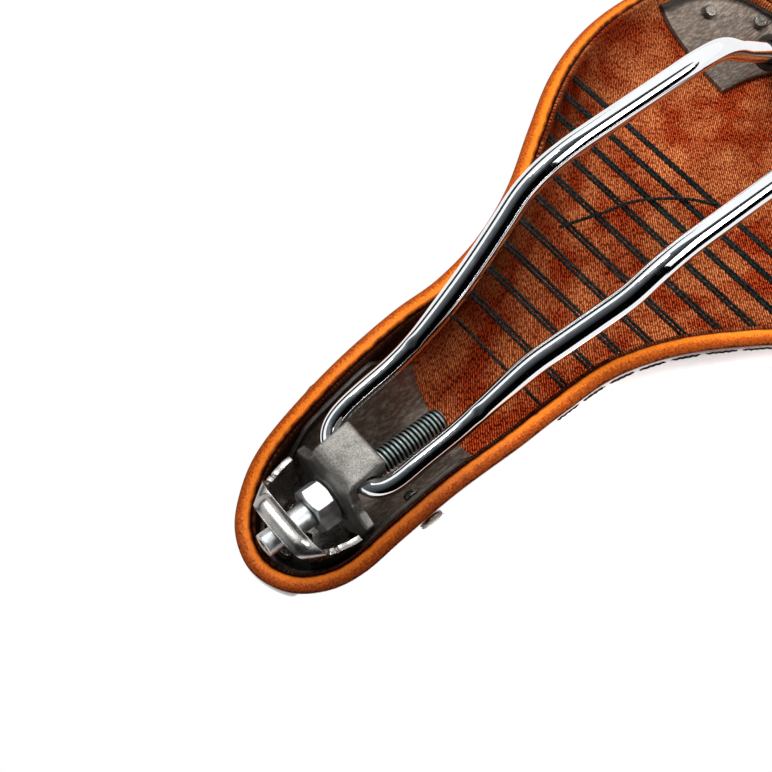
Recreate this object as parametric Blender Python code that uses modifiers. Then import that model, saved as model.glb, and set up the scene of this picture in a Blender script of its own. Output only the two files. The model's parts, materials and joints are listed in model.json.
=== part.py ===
"""Tensioned leather bicycle saddle: a leather shell hung between a nose piece and a cantle plate,
steel rails, and a screw that pushes the nose forward to tighten the leather.

Metres, +Z up, nose towards -Y. The origin is the middle of the seat post clamp on the rails.
"""
import math

import bmesh
import bpy
from mathutils import Matrix, Vector

MM = 0.001

# Sheet pieces and the gap between touching pieces
GAP = 0.3 * MM
LEATHER_THICK = 4.9 * MM
LINING_THICK = 0.8 * MM
LINING_MARGIN = 1.2 * MM
NOSE_PLATE_THICK = 1.6 * MM
CUP_THICK = 1.8 * MM
CANTLE_THICK = 2.0 * MM

# Leather rim, nose to cantle, on the middle of the leather, in mm:
# half width, y and z of the rim, then the y of the crown point that the section runs up to.
# The half widths are drawn to the widest, which RIM_WIDTH sets.
RIM_STATIONS = [
    (0.0, -149.2, 59.5, -133.0),
    (10.9, -145.8, 58.6, -132.0),
    (18.3, -138.0, 55.3, -129.5),
    (22.2, -129.0, 49.7, -124.5),
    (23.5, -116.5, 42.5, -115.0),
    (24.6, -98.0, 35.5, -98.0),
    (25.8, -77.0, 32.4, -77.0),
    (25.8, -60.0, 31.4, -58.0),
    (27.9, -43.0, 27.6, -40.0),
    (35.0, -25.0, 25.3, -20.0),
    (47.0, -6.0, 24.5, 0.0),
    (60.0, 14.0, 28.0, 20.0),
    (71.5, 36.0, 36.0, 41.0),
    (79.5, 58.0, 44.5, 60.0),
    (83.0, 80.0, 51.5, 76.0),
    (80.0, 100.0, 56.0, 88.0),
    (68.0, 114.5, 58.5, 95.0),
    (46.0, 121.0, 59.5, 99.0),
    (23.0, 122.8, 59.3, 100.5),
    (0.0, 123.0, 59.0, 101.0),
]
RIM_WIDTH = 166.0 * MM
# Crown line over the saddle: y and z on the middle of the leather
CROWN_LINE = [
    (-133.0, 74.6), (-115.0, 75.4), (-90.0, 74.2), (-60.0, 70.6), (-20.0, 66.3),
    (20.0, 65.0), (55.0, 68.3), (85.0, 73.8), (101.0, 75.2),
]
SKIRT_RISE = 0.80
SKIRT_LEAN = 0.05
CROWN_REACH = 0.60
SECTION_STEPS = 9
RIM_STEPS_PER_STATION = 2

# Rails
RAIL_DIAMETER = 7.0 * MM
RAIL_FRONT_DIAMETER = 5.9 * MM
RAIL_SPACING = 45.0 * MM
RAIL_CROSSBAR_Y = -115.5 * MM
RAIL_CROSSBAR_Z = 41.1 * MM
RAIL_LOOP_HALF = 13.7 * MM
CLAMP_HALF_LENGTH = 30.0 * MM
RAIL_END_X = 35.0 * MM
RAIL_END_Y = 97.0 * MM
RAIL_END_Z = 53.0 * MM

# Tension screw
BOLT_DIAMETER = 7.9 * MM
BOLT_Z = 52.7 * MM
BOLT_END_Y = -81.4 * MM
BOLT_CLEARANCE = 0.35 * MM
PIN_DIAMETER = 7.3 * MM
PIN_TIP_Y = -146.0 * MM
PIN_SHOULDER_Y = -138.0 * MM
PIN_SOCKET_RADIUS = 2.0 * MM
PIN_SOCKET_DEPTH = 3.0 * MM
THREAD_PITCH = 1.41 * MM
THREAD_DEPTH = 0.75 * MM
THREAD_START_Y = -131.0 * MM
NUT_ACROSS_FLATS = 13.3 * MM
NUT_LENGTH = 7.0 * MM

# Shackle: a shield plate with a hook over the rails' crossbar
SHACKLE_FRONT_Y = -122.0 * MM
SHACKLE_PLATE_THICK = 3.2 * MM
SHACKLE_WING_HALF = 16.3 * MM
SHACKLE_HOOK_HALF = 8.2 * MM
SHACKLE_HOOK_THICK = 2.0 * MM
SHACKLE_HOOK_CLEARANCE = 0.8 * MM
SHACKLE_LIP = 3.2 * MM
SHACKLE_BOSS_RADIUS = 7.2 * MM
SHACKLE_BOSS_PROUD = 0.7 * MM

# Nose piece: a pressed cup inside the nose plate, with a strap that arches over the pin
CUP_FRONT = 1.5
CUP_STRAP_END = 2.2
CUP_REAR = 3.42
CUP_STRAP_STEPS = 4
CUP_WALL_STEPS = 7
CUP_ARCH_STEPS = 5
CUP_EDGE_Z = 50.0 * MM
CUP_FRONT_EDGE_Z = 52.0 * MM
CUP_SEAT_GAP = 0.4 * MM
CUP_FLARE = 0.5 * MM
CUP_FLARE_END = 2.7
STRAP_FRONT_Y = -142.5 * MM
STRAP_REAR_Y = -136.3 * MM
STRAP_CLEARANCE = 0.5 * MM
STRAP_BEAD = 1.3 * MM
STRAP_FLATNESS = 0.62
NOSE_PLATE_END = 6.0
NOSE_PLATE_EDGE = [(0.0, 0.18), (3.0, 0.18), (4.0, 0.03), (5.3, 0.03), (6.0, 0.20)]
CUP_FRONT_SLANT = 0.4

# Cantle plate and the sockets that hold the rail ends under it
CANTLE_START = 14.0
CANTLE_EDGE_ROW = 1
CANTLE_INNER_ROW = 6
SOCKET_RADIUS = 6.2 * MM
SOCKET_LENGTH = 16.0 * MM
SOCKET_FOOT_RADIUS = 8.5 * MM
SOCKET_FOOT_LENGTH = 7.0 * MM
SOCKET_REACH = 40.0 * MM

# Rivets
RIVET_HEAD_RADIUS = 4.0 * MM
RIVET_HEAD_HEIGHT = 1.1 * MM
RIVET_SHANK_RADIUS = 1.9 * MM
RIVET_TAIL_RADIUS = 2.6 * MM
RIVET_TAIL_HEIGHT = 1.8 * MM

# Lacing between the skirts, and the tie across it
CORD_DIAMETER = 1.2 * MM
LACE_FIRST_Y = -63.4 * MM
LACE_PITCH = 8.7 * MM
LACE_STITCH = 1.8 * MM
LACE_COUNT = 11
LACE_RISE = 3.6 * MM
LACE_HOLE_CLEARANCE = 0.35 * MM
LACE_STITCH_STANDOFF = 0.45 * MM
LACE_CORNER = 1.2 * MM
# Loose end, in mm: x and y of the points where it crosses under the strands
TIE_ROUTE = [(16.7, -23.1), (15.0, -17.5), (12.0, -9.0), (10.2, -0.9), (6.6, 7.4), (1.6, 15.8), (-4.0, 22.3)]


def clear_scene():
    for item in list(bpy.data.objects):
        bpy.data.objects.remove(item, do_unlink=True)


def collection(name):
    group = bpy.data.collections.new(name)
    bpy.context.scene.collection.children.link(group)
    return group


def material(name, colour, roughness, metallic):
    finish = bpy.data.materials.new(name)
    finish.use_nodes = True
    shader = finish.node_tree.nodes["Principled BSDF"]
    shader.inputs["Base Color"].default_value = (*colour, 1.0)
    shader.inputs["Roughness"].default_value = roughness
    shader.inputs["Metallic"].default_value = metallic
    return finish


def hermite(knots, points, t):
    """Smooth curve through points at rising knots, with tangents taken from the neighbours."""
    last = len(knots) - 1
    i = max(0, min(last - 1, next((k for k in range(last) if t <= knots[k + 1]), last - 1)))

    def tangent(k):
        a, b = max(0, k - 1), min(last, k + 1)
        return (points[b] - points[a]) / (knots[b] - knots[a])

    span = knots[i + 1] - knots[i]
    s = (t - knots[i]) / span
    h00 = 2 * s**3 - 3 * s**2 + 1
    h10 = s**3 - 2 * s**2 + s
    h01 = 3 * s**2 - 2 * s**3
    h11 = s**3 - s**2
    return (points[i] * h00 + tangent(i) * (h10 * span)
            + points[i + 1] * h01 + tangent(i + 1) * (h11 * span))


def smooth_path(points, step):
    """Points along a smooth curve through the given ones, about one step apart."""
    knots = [0.0]
    for a, b in zip(points, points[1:]):
        knots.append(knots[-1] + (b - a).length)
    count = max(2, round(knots[-1] / step))
    return [hermite(knots, points, knots[-1] * k / count) for k in range(count + 1)]


# The leather's middle surface: u counts rim stations, v runs from the rim to the crown

def mirrored_ends(rows):
    """Stations with one more at each end, mirrored in x, so the rim crosses the middle square."""
    widest = max(row[0] for row in rows)
    points = [Vector((half / widest * RIM_WIDTH / 2, y * MM, z * MM, crown * MM)) for half, y, z, crown in rows]
    flip = Vector((-1, 1, 1, 1))
    before = Vector(a * b for a, b in zip(points[1], flip))
    after = Vector(a * b for a, b in zip(points[-2], flip))
    return [before] + points + [after]


RIM_POINTS = mirrored_ends(RIM_STATIONS)
RIM_KNOTS = list(range(-1, len(RIM_STATIONS) + 1))
CROWN_KNOTS = [y * MM for y, z in CROWN_LINE]
CROWN_POINTS = [Vector((z * MM, 0)) for y, z in CROWN_LINE]
LAST_STATION = len(RIM_STATIONS) - 1
NUDGE = 0.001


def crown_z(y):
    return hermite(CROWN_KNOTS, CROWN_POINTS, y)[0]


def leather_point(u, v):
    half, y, z, crown_y = hermite(RIM_KNOTS, RIM_POINTS, u)
    rim = Vector((half, y, z))
    crown = Vector((0, crown_y, crown_z(crown_y)))
    slope = (crown_z(crown_y + MM) - crown_z(crown_y - MM)) / (2 * MM)
    inward = Vector((-half, crown_y - y, 0))
    arrive = Vector((-half, crown_y - y, slope * (crown_y - y)))
    low = rim + inward * SKIRT_LEAN + Vector((0, 0, (crown.z - z) * SKIRT_RISE))
    high = crown - arrive * CROWN_REACH
    w = 1 - v
    return rim * w**3 + low * (3 * w * w * v) + high * (3 * w * v * v) + crown * v**3


def leather_normal(u, v):
    """Outward normal of the leather; on the middle plane it has no sideways part."""
    on_middle = v > 1 - NUDGE or u < NUDGE or u > LAST_STATION - NUDGE
    a = max(0.0, u - 20 * NUDGE)
    b = min(float(LAST_STATION), u + 20 * NUDGE)
    c = v - 10 * NUDGE
    d = min(1.0, v + 10 * NUDGE)
    along = leather_point(b, v) - leather_point(a, v)
    across = leather_point(u, d) - leather_point(u, c)
    normal = along.cross(across)
    if v > 1 - NUDGE and (u < NUDGE or u > LAST_STATION - NUDGE):
        y = leather_point(u, 1).y
        normal = Vector((0, -(crown_z(y + MM) - crown_z(y - MM)) / (2 * MM), 1))
    if on_middle:
        normal.x = 0
    normal.normalize()
    return normal if normal.z > 0 or normal.x > 0 or normal.dot(leather_point(u, v)) > 0 else -normal


def layer_point(u, v, depth):
    """Point at a depth inside the leather's middle surface."""
    return leather_point(u, v) - leather_normal(u, v) * depth


def solve(function, low, high):
    """Root of a function that changes sign between low and high."""
    rising = function(high) > 0
    for _ in range(40):
        middle = (low + high) / 2
        if (function(middle) > 0) == rising:
            high = middle
        else:
            low = middle
    return (low + high) / 2


LINING_DEPTH = LEATHER_THICK / 2 + GAP + LINING_THICK / 2
PLATE_FACE = LINING_DEPTH + LINING_THICK / 2 + GAP
NOSE_PLATE_DEPTH = PLATE_FACE + NOSE_PLATE_THICK / 2
CUP_DEPTH = NOSE_PLATE_DEPTH + NOSE_PLATE_THICK / 2 + CUP_SEAT_GAP + CUP_THICK / 2
CANTLE_DEPTH = PLATE_FACE + CANTLE_THICK / 2
V_ROWS = [k / SECTION_STEPS for k in range(SECTION_STEPS + 1)]


def u_rows(start, end):
    count = round((end - start) * RIM_STEPS_PER_STATION)
    return [start + (end - start) * k / count for k in range(count + 1)]


def new_object(name, mesh, group, finish=None):
    item = bpy.data.objects.new(name, mesh)
    group.objects.link(item)
    if finish:
        mesh.materials.append(finish)
    return item


def mesh_from(build):
    """Mesh made by a function that fills a bmesh."""
    work = bmesh.new()
    build(work)
    mesh = bpy.data.meshes.new("mesh")
    work.to_mesh(mesh)
    work.free()
    return mesh


def sheet(name, rows, thickness, group, finish=None):
    """Half sheet from rows of points, mirrored at the middle plane and thickened evenly."""
    def build(work):
        made = [[work.verts.new(point) for point in row] for row in rows]
        for a, b in zip(made, made[1:]):
            for k in range(min(len(a), len(b)) - 1):
                work.faces.new((a[k], b[k], b[k + 1], a[k + 1]))
        bmesh.ops.remove_doubles(work, verts=work.verts, dist=0.01 * MM)
        bmesh.ops.recalc_face_normals(work, faces=work.faces)

    item = new_object(name, mesh_from(build), group, finish)
    mirror = item.modifiers.new("mirror", "MIRROR")
    mirror.merge_threshold = 0.00002
    mirror.use_clip = True
    shell = item.modifiers.new("thickness", "SOLIDIFY")
    shell.thickness = thickness
    shell.offset = 0
    item.data.shade_smooth()
    return item


def cutter(name, mesh, group):
    item = new_object(name, mesh, group)
    item.hide_render = True
    item.display_type = "WIRE"
    return item


def boolean(item, operation, other):
    cut = item.modifiers.new(operation.lower(), "BOOLEAN")
    cut.operation = operation
    cut.solver = "EXACT"
    cut.object = other


def toward(direction):
    """Rotation that turns +Z to a direction."""
    return direction.to_track_quat("Z", "Y").to_matrix().to_4x4()


def cylinders(places, radius, half, segments):
    """Mesh of one cylinder at each place, given as centre and direction."""
    def build(work):
        for centre, direction in places:
            bmesh.ops.create_cone(
                work, cap_ends=True, segments=segments, radius1=radius, radius2=radius,
                depth=2 * half, matrix=Matrix.Translation(centre) @ toward(direction))
    return mesh_from(build)


def turned(name, profile, base, direction, steps, group, finish):
    """Round solid: (radius, height) pairs from the top down, turned about a line from base."""
    def build(work):
        verts = [work.verts.new((radius, 0, height)) for radius, height in profile]
        for a, b in zip(verts, verts[1:]):
            work.edges.new((a, b))

    item = new_object(name, mesh_from(build), group, finish)
    item.matrix_world = Matrix.Translation(base) @ toward(direction)
    screw = item.modifiers.new("turn", "SCREW")
    screw.steps = steps
    screw.render_steps = steps
    screw.use_merge_vertices = True
    screw.merge_threshold = 0.00001
    screw.use_smooth_shade = True
    return item


def extruded(name, outline, thickness, frame, group):
    """Closed solid from a flat outline, as thick as given, placed by a matrix."""
    curve = bpy.data.curves.new(name, "CURVE")
    curve.dimensions = "2D"
    curve.fill_mode = "BOTH"
    curve.extrude = thickness / 2
    spline = curve.splines.new("POLY")
    spline.points.add(len(outline) - 1)
    for point, (x, y) in zip(spline.points, outline):
        point.co = (x, y, 0, 1)
    spline.use_cyclic_u = True
    flat = bpy.data.objects.new(name + "_outline", curve)
    group.objects.link(flat)
    bpy.context.view_layer.update()
    mesh = bpy.data.meshes.new_from_object(flat.evaluated_get(bpy.context.evaluated_depsgraph_get()))
    bpy.data.objects.remove(flat, do_unlink=True)
    work = bmesh.new()
    work.from_mesh(mesh)
    bmesh.ops.remove_doubles(work, verts=work.verts, dist=0.01 * MM)
    work.to_mesh(mesh)
    work.free()
    item = bpy.data.objects.new(name, mesh)
    item.matrix_world = frame
    group.objects.link(item)
    return item


def tube(name, path, radii, sides, group, finish):
    """Round rod or cord along points, with a radius at each."""
    curve = bpy.data.curves.new(name, "CURVE")
    curve.dimensions = "3D"
    curve.bevel_depth = 1.0
    curve.bevel_resolution = sides // 2 - 2
    curve.use_fill_caps = True
    spline = curve.splines.new("POLY")
    spline.points.add(len(path) - 1)
    for point, place, radius in zip(spline.points, path, radii):
        point.co = (*place, 1)
        point.radius = radius
    item = bpy.data.objects.new(name, curve)
    group.objects.link(item)
    curve.materials.append(finish)
    return item


# Leather, lining and the plates that the leather hangs from

def lining_rows():
    rows = []
    for u in u_rows(0, LAST_STATION):
        rim_z = leather_point(u, 0).z
        start = solve(lambda v: leather_point(u, v).z - rim_z - LINING_MARGIN, 0.0, 0.5)
        rows.append([layer_point(u, v, LINING_DEPTH) for v in [start] + V_ROWS[1:]])
    return rows


def patch_rows(start, end, low_row, high_row, depth):
    rows = V_ROWS[low_row:high_row + 1]
    return [[layer_point(u, v, depth) for v in rows] for u in u_rows(start, end)]


def nose_plate_rows():
    """The plate reaches to the rim at its sides only, and its rear corners are cut off."""
    knots = [u for u, v in NOSE_PLATE_EDGE]
    rows = []
    for u in u_rows(0, NOSE_PLATE_END):
        k = max(i for i in range(len(knots) - 1) if knots[i] <= u)
        (a, low), (b, high) = NOSE_PLATE_EDGE[k], NOSE_PLATE_EDGE[k + 1]
        start = low + (high - low) * (u - a) / (b - a)
        rows.append([layer_point(u, start + (1 - start) * j / SECTION_STEPS, NOSE_PLATE_DEPTH)
                     for j in range(SECTION_STEPS + 1)])
    return rows


def cup_wall_top(u):
    """Height of the cup's sheared edge: it falls from the strap's front to the level wall edge."""
    share = min(1.0, max(0.0, (u - CUP_FRONT) / (CUP_STRAP_END - CUP_FRONT)))
    return CUP_FRONT_EDGE_Z + (CUP_EDGE_Z - CUP_FRONT_EDGE_Z) * share


def cup_rows():
    """Half sections of the cup: crown to wall edge, then on over the strap to its middle.
    The wall flares at its edge. The strap lies flat over the screw, with a bead along it."""
    front_z = BOLT_Z - PIN_DIAMETER / 2 - STRAP_CLEARANCE - CUP_THICK / 2
    rear_z = BOLT_Z - BOLT_DIAMETER / 2 - STRAP_CLEARANCE - CUP_THICK / 2
    strap = [CUP_FRONT + (CUP_STRAP_END - CUP_FRONT) * k / CUP_STRAP_STEPS
             for k in range(CUP_STRAP_STEPS + 1)]
    wall = [CUP_STRAP_END + (CUP_REAR - CUP_STRAP_END) * k / 4 for k in range(1, 5)]
    rows = []
    for u in strap + wall:
        top = solve(lambda v: layer_point(u, v, CUP_DEPTH).z - cup_wall_top(u), -0.4, 0.8)
        slant = CUP_FRONT_SLANT * max(0.0, (CUP_STRAP_END - u) / (CUP_STRAP_END - CUP_FRONT))
        near_strap = min(1.0, max(0.0, (CUP_FLARE_END - u) / (CUP_FLARE_END - CUP_STRAP_END)))
        row = []
        for k in range(CUP_WALL_STEPS + 1):
            share = k / CUP_WALL_STEPS
            flare = CUP_FLARE * share**6 * near_strap
            row.append(layer_point(u + slant * (1 - share), 1 + (top - 1) * share, CUP_DEPTH - flare))
        edge = row[-1]
        if u <= CUP_STRAP_END:
            share = (u - CUP_FRONT) / (CUP_STRAP_END - CUP_FRONT)
            crest_y = STRAP_FRONT_Y + (STRAP_REAR_Y - STRAP_FRONT_Y) * share
            crest_z = front_z + (rear_z - front_z) * share
            bead = STRAP_BEAD * math.sin(math.pi * share)
            for k in range(1, CUP_ARCH_STEPS + 1):
                angle = math.pi / 2 * k / CUP_ARCH_STEPS
                rise = math.sin(angle) ** STRAP_FLATNESS
                row.append(Vector((edge.x * math.cos(angle) ** STRAP_FLATNESS,
                                   edge.y + (crest_y - edge.y) * rise,
                                   edge.z + (crest_z - edge.z) * rise - bead * rise**4)))
            row[-1].x = 0
        rows.append(row)
    return rows


# Rivets: name, place on the leather (u, v), depth of the last sheet's inner face, side

NOSE_STACK = NOSE_PLATE_DEPTH + NOSE_PLATE_THICK / 2
CUP_STACK = CUP_DEPTH + CUP_THICK / 2
CANTLE_STACK = CANTLE_DEPTH + CANTLE_THICK / 2
NOSE_RIVETS = [
    ("nose_rivet_front", 0.0, 0.62, NOSE_STACK, (1,)),
    ("nose_rivet_corner", 2.6, 0.60, CUP_STACK, (1, -1)),
    ("nose_rivet_side", 4.55, 0.075, NOSE_STACK, (1, -1)),
    ("nose_rivet_top", 3.8, 0.80, NOSE_STACK, (1, -1)),
]
CANTLE_RIVETS = [
    ("cantle_rivet_middle", float(LAST_STATION), 0.55, CANTLE_STACK, (1,)),
    ("cantle_rivet_inner", 18.2, 0.48, CANTLE_STACK, (1, -1)),
    ("cantle_rivet_outer", 16.0, 0.36, CANTLE_STACK, (1, -1)),
    ("cantle_rivet_wing", 14.9, 0.30, CANTLE_STACK, (1, -1)),
]
SIDE_NAME = {1: "left", -1: "right"}


def rivet_places(rivets):
    """Each rivet's name, middle point, outward normal and stack depth, on both sides."""
    places = []
    for name, u, v, stack, sides in rivets:
        for side in sides:
            full = name if len(sides) == 1 else name + "_" + SIDE_NAME[side]
            flip = Vector((side, 1, 1))
            places.append((full, leather_point(u, v) * flip, leather_normal(u, v) * flip,
                           deepest(u, v, stack)))
    return places


def deepest(u, v, stack):
    """How far inside the leather the curved stack reaches anywhere under a rivet's tail."""
    centre, normal = leather_point(u, v), leather_normal(u, v)
    depth = stack
    for i in range(-8, 9):
        for j in range(-8, 9):
            near_u = min(float(LAST_STATION), max(0.0, u + 0.06 * i))
            local = layer_point(near_u, min(1.0, v + 0.02 * j), stack) - centre
            inward = -local.dot(normal)
            if (local + normal * inward).length < 1.2 * RIVET_TAIL_RADIUS:
                depth = max(depth, inward)
    return depth


def rivet(name, centre, normal, stack, group, finish):
    """Round-headed rivet: head on the leather, shank through the sheets, clenched tail inside."""
    top = LEATHER_THICK / 2 + GAP
    under = -stack - 2 * GAP
    dome = [(RIVET_HEAD_RADIUS * math.sin(a), top + RIVET_HEAD_HEIGHT * math.cos(a))
            for a in [math.pi / 2 * k / 4 for k in range(5)]]
    profile = dome + [
        (RIVET_SHANK_RADIUS, top), (RIVET_SHANK_RADIUS, under),
        (RIVET_TAIL_RADIUS, under), (RIVET_TAIL_RADIUS * 0.8, under - RIVET_TAIL_HEIGHT),
        (0, under - RIVET_TAIL_HEIGHT)]
    return turned(name, profile, centre, normal, 10, group, finish)


# Tension screw

def bolt(group, finish):
    """Pin, plain shank and thread on one bar; heights run forward from the screw's rear end."""
    front = BOLT_END_Y - PIN_TIP_Y
    shoulder = BOLT_END_Y - PIN_SHOULDER_Y
    start = BOLT_END_Y - THREAD_START_Y
    pin, major = PIN_DIAMETER / 2, BOLT_DIAMETER / 2
    chamfer = THREAD_DEPTH
    profile = [
        (0, front - PIN_SOCKET_DEPTH), (PIN_SOCKET_RADIUS, front - PIN_SOCKET_DEPTH),
        (PIN_SOCKET_RADIUS, front), (pin - chamfer / 2, front), (pin, front - chamfer / 2),
        (pin, shoulder), (major, shoulder - (major - pin))]
    turns = int((start - chamfer) / THREAD_PITCH)
    for k in range(turns):
        crest = start - k * THREAD_PITCH
        profile.append((major, crest))
        profile.append((major - THREAD_DEPTH, crest - THREAD_PITCH / 2))
    profile.append((major, start - turns * THREAD_PITCH))
    profile.append((major - chamfer, 0))
    profile.append((0, 0))
    base = Vector((0, BOLT_END_Y, BOLT_Z))
    return turned("tension_bolt", profile, base, Vector((0, -1, 0)), 12, group, finish)


NUT_REAR_Y = SHACKLE_FRONT_Y - SHACKLE_BOSS_PROUD - GAP
BORE_RADIUS = BOLT_DIAMETER / 2 + BOLT_CLEARANCE
ALONG_Y = Vector((0, 1, 0))


def bolt_bore(group):
    centre = Vector((0, (PIN_TIP_Y + BOLT_END_Y) / 2, BOLT_Z))
    mesh = cylinders([(centre, ALONG_Y)], BORE_RADIUS, BOLT_END_Y - PIN_TIP_Y, 24)
    return cutter("bolt_bore", mesh, group)


def nut(group, finish, bore):
    """Hexagon nut with turned-down corners."""
    centre = Vector((0, NUT_REAR_Y - NUT_LENGTH / 2, BOLT_Z))
    corner = NUT_ACROSS_FLATS / math.sqrt(3)
    item = new_object("tension_nut", cylinders([(Vector(), Vector((0, 0, 1)))], corner,
                                               NUT_LENGTH / 2, 6), group, finish)
    item.location = centre
    item.rotation_euler = (math.pi / 2, math.radians(30), 0)
    round_edge = item.modifiers.new("corners", "BEVEL")
    round_edge.width = 0.6 * MM
    round_edge.segments = 2
    boolean(item, "DIFFERENCE", bore)
    return item


# Shackle

def shackle(group, helpers, finish, bore):
    rear = SHACKLE_FRONT_Y + SHACKLE_PLATE_THICK
    hollow = RAIL_FRONT_DIAMETER / 2 + SHACKLE_HOOK_CLEARANCE
    under = RAIL_CROSSBAR_Z - hollow
    shoulder_z = under + 2.0 * MM
    low_z = BOLT_Z + 1.6 * SHACKLE_BOSS_RADIUS
    half = [
        (SHACKLE_HOOK_HALF, shoulder_z), (SHACKLE_HOOK_HALF + 1.2 * MM, shoulder_z + 3 * MM),
        (SHACKLE_HOOK_HALF + 3.8 * MM, shoulder_z + 6.3 * MM),
        (SHACKLE_WING_HALF, BOLT_Z - 4.5 * MM), (SHACKLE_WING_HALF, BOLT_Z - 1.0 * MM),
        (SHACKLE_WING_HALF - 3.0 * MM, BOLT_Z + 4.5 * MM),
        (SHACKLE_HOOK_HALF, low_z - 2.0 * MM), (SHACKLE_HOOK_HALF / 2, low_z)]
    outline = half + [(-x, z) for x, z in reversed(half)]
    middle = (SHACKLE_FRONT_Y + rear) / 2
    upright = Matrix.Translation((0, middle, 0)) @ Matrix.Rotation(math.pi / 2, 4, "X")
    body = extruded("tension_shackle", outline, SHACKLE_PLATE_THICK, upright, group)
    body.data.materials.append(finish)

    front, back = SHACKLE_FRONT_Y, RAIL_CROSSBAR_Y + hollow + SHACKLE_LIP
    top = under - SHACKLE_HOOK_THICK
    round_front = [(0.0, 3.4), (0.25, 1.9), (1.0, 0.95), (2.4, 0.25)]
    round_back = [(-2.4, -1.75), (-0.8, -1.75), (-0.15, -1.0), (0.0, 0.4)]
    hook = [(front, shoulder_z + 4 * MM)]
    hook += [(front + y * MM, top + z * MM) for y, z in round_front]
    hook += [(back + y * MM, top + z * MM) for y, z in round_back]
    hook += [(back, RAIL_CROSSBAR_Z + 1.0 * MM), (RAIL_CROSSBAR_Y + hollow, RAIL_CROSSBAR_Z + 1.0 * MM)]
    for k in range(9):
        angle = math.pi * k / 8
        hook.append((RAIL_CROSSBAR_Y + hollow * math.cos(angle),
                     RAIL_CROSSBAR_Z - hollow * math.sin(angle)))
    hook += [(rear - 0.4 * MM, RAIL_CROSSBAR_Z + 1.0 * MM), (rear - 0.4 * MM, shoulder_z + 4 * MM)]
    sideways = Matrix(((0, 0, 1, 0), (1, 0, 0, 0), (0, 1, 0, 0), (0, 0, 0, 1)))
    claw = extruded("shackle_hook", hook, 2 * SHACKLE_HOOK_HALF, sideways, helpers)
    boss = cutter("shackle_boss", cylinders(
        [(Vector((0, middle - SHACKLE_BOSS_PROUD / 2, BOLT_Z)), ALONG_Y)], SHACKLE_BOSS_RADIUS,
        (SHACKLE_PLATE_THICK + SHACKLE_BOSS_PROUD) / 2, 24), helpers)
    for helper in (claw, boss):
        helper.hide_render = True
        helper.display_type = "WIRE"
        boolean(body, "UNION", helper)
    boolean(body, "DIFFERENCE", bore)
    return body


# Rails: one bar from a rear socket, round the shackle and back

def rail_path():
    half = RAIL_SPACING / 2
    loop = RAIL_LOOP_HALF
    z = RAIL_CROSSBAR_Z
    side = [
        Vector((0, RAIL_CROSSBAR_Y, z)),
        Vector((loop - 7.0 * MM, RAIL_CROSSBAR_Y, z)),
        Vector((loop - 4.8 * MM, RAIL_CROSSBAR_Y + 0.3 * MM, z)),
        Vector((loop - 1.9 * MM, RAIL_CROSSBAR_Y + 2.8 * MM, z - 0.9 * MM)),
        Vector((loop - 0.4 * MM, RAIL_CROSSBAR_Y + 7.0 * MM, z - 2.6 * MM)),
        Vector((loop, RAIL_CROSSBAR_Y + 14.0 * MM, z - 5.0 * MM)),
        Vector((loop + 0.3 * MM, -0.0885, 0.0333)),
        Vector((loop + 0.6 * MM, -0.0799, 0.0298)),
        Vector((loop + 1.2 * MM, -0.0718, 0.0254)),
        Vector((loop + 2.2 * MM, -0.0631, 0.0204)),
        Vector((loop + 4.2 * MM, -0.0534, 0.0158)),
        Vector((half - 2.3 * MM, -0.0434, 0.0106)),
        Vector((half - 0.4 * MM, -0.0350, 0.0060)),
        Vector((half, -0.0270, 0.0023)),
        Vector((half, -0.0175, 0.0003)),
        Vector((half, -0.0100, 0)),
        Vector((half, CLAMP_HALF_LENGTH - 0.0060, 0)),
        Vector((half + 0.3 * MM, CLAMP_HALF_LENGTH + 0.0030, 0.0006)),
    ]
    end = Vector((RAIL_END_X, RAIL_END_Y, RAIL_END_Z))
    bend = Vector((half + 1.5 * MM, CLAMP_HALF_LENGTH + 0.0150, 0.0048))
    for share in (0.0, 0.3, 0.6, 0.8, 1.0):
        side.append(bend.lerp(end, share))
    right = smooth_path(side, 3.6 * MM)
    left = [Vector((-p.x, p.y, p.z)) for p in reversed(right[1:])]
    return left + right


def rail_radius(point):
    """The bar is drawn down in front of the bends."""
    share = min(1.0, max(0.0, (point.y + 0.0840) / 0.0200))
    front, rear = RAIL_FRONT_DIAMETER / 2, RAIL_DIAMETER / 2
    return front + (rear - front) * share * share * (3 - 2 * share)


def rail_end_direction(path):
    return (path[-1] - path[-2]).normalized()


def rail_socket(side, path, group, finish, plate_space):
    """Turned socket round the rail's end; its flared foot is shaped to the plate above it."""
    flip = Vector((side, 1, 1))
    end = path[-1] * flip
    axis = rail_end_direction(path) * flip
    bore = RAIL_DIAMETER / 2 + GAP
    mouth = -SOCKET_LENGTH
    foot = SOCKET_REACH
    profile = [
        (0, foot), (SOCKET_FOOT_RADIUS, foot), (SOCKET_FOOT_RADIUS, SOCKET_FOOT_LENGTH),
        (SOCKET_RADIUS, GAP), (SOCKET_RADIUS, mouth), (bore, mouth), (bore, GAP), (0, GAP)]
    item = turned("rail_socket_" + SIDE_NAME[side], profile, end, axis, 20, group, finish)
    boolean(item, "DIFFERENCE", plate_space)
    return item


# Lacing

def skirt_place(y, rise):
    """Rim parameter and section parameter of the skirt at a y, a height above its rim."""
    u = solve(lambda t: leather_point(t, 0).y - y, 2.0, 14.0)
    rim_z = leather_point(u, 0).z
    for _ in range(4):
        v = solve(lambda t: leather_point(u, t).z - rim_z - rise, 0.0, 0.6)
        u = solve(lambda t: leather_point(t, v).y - y, 2.0, 14.0)
        rim_z = leather_point(u, 0).z
    return u, v


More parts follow.
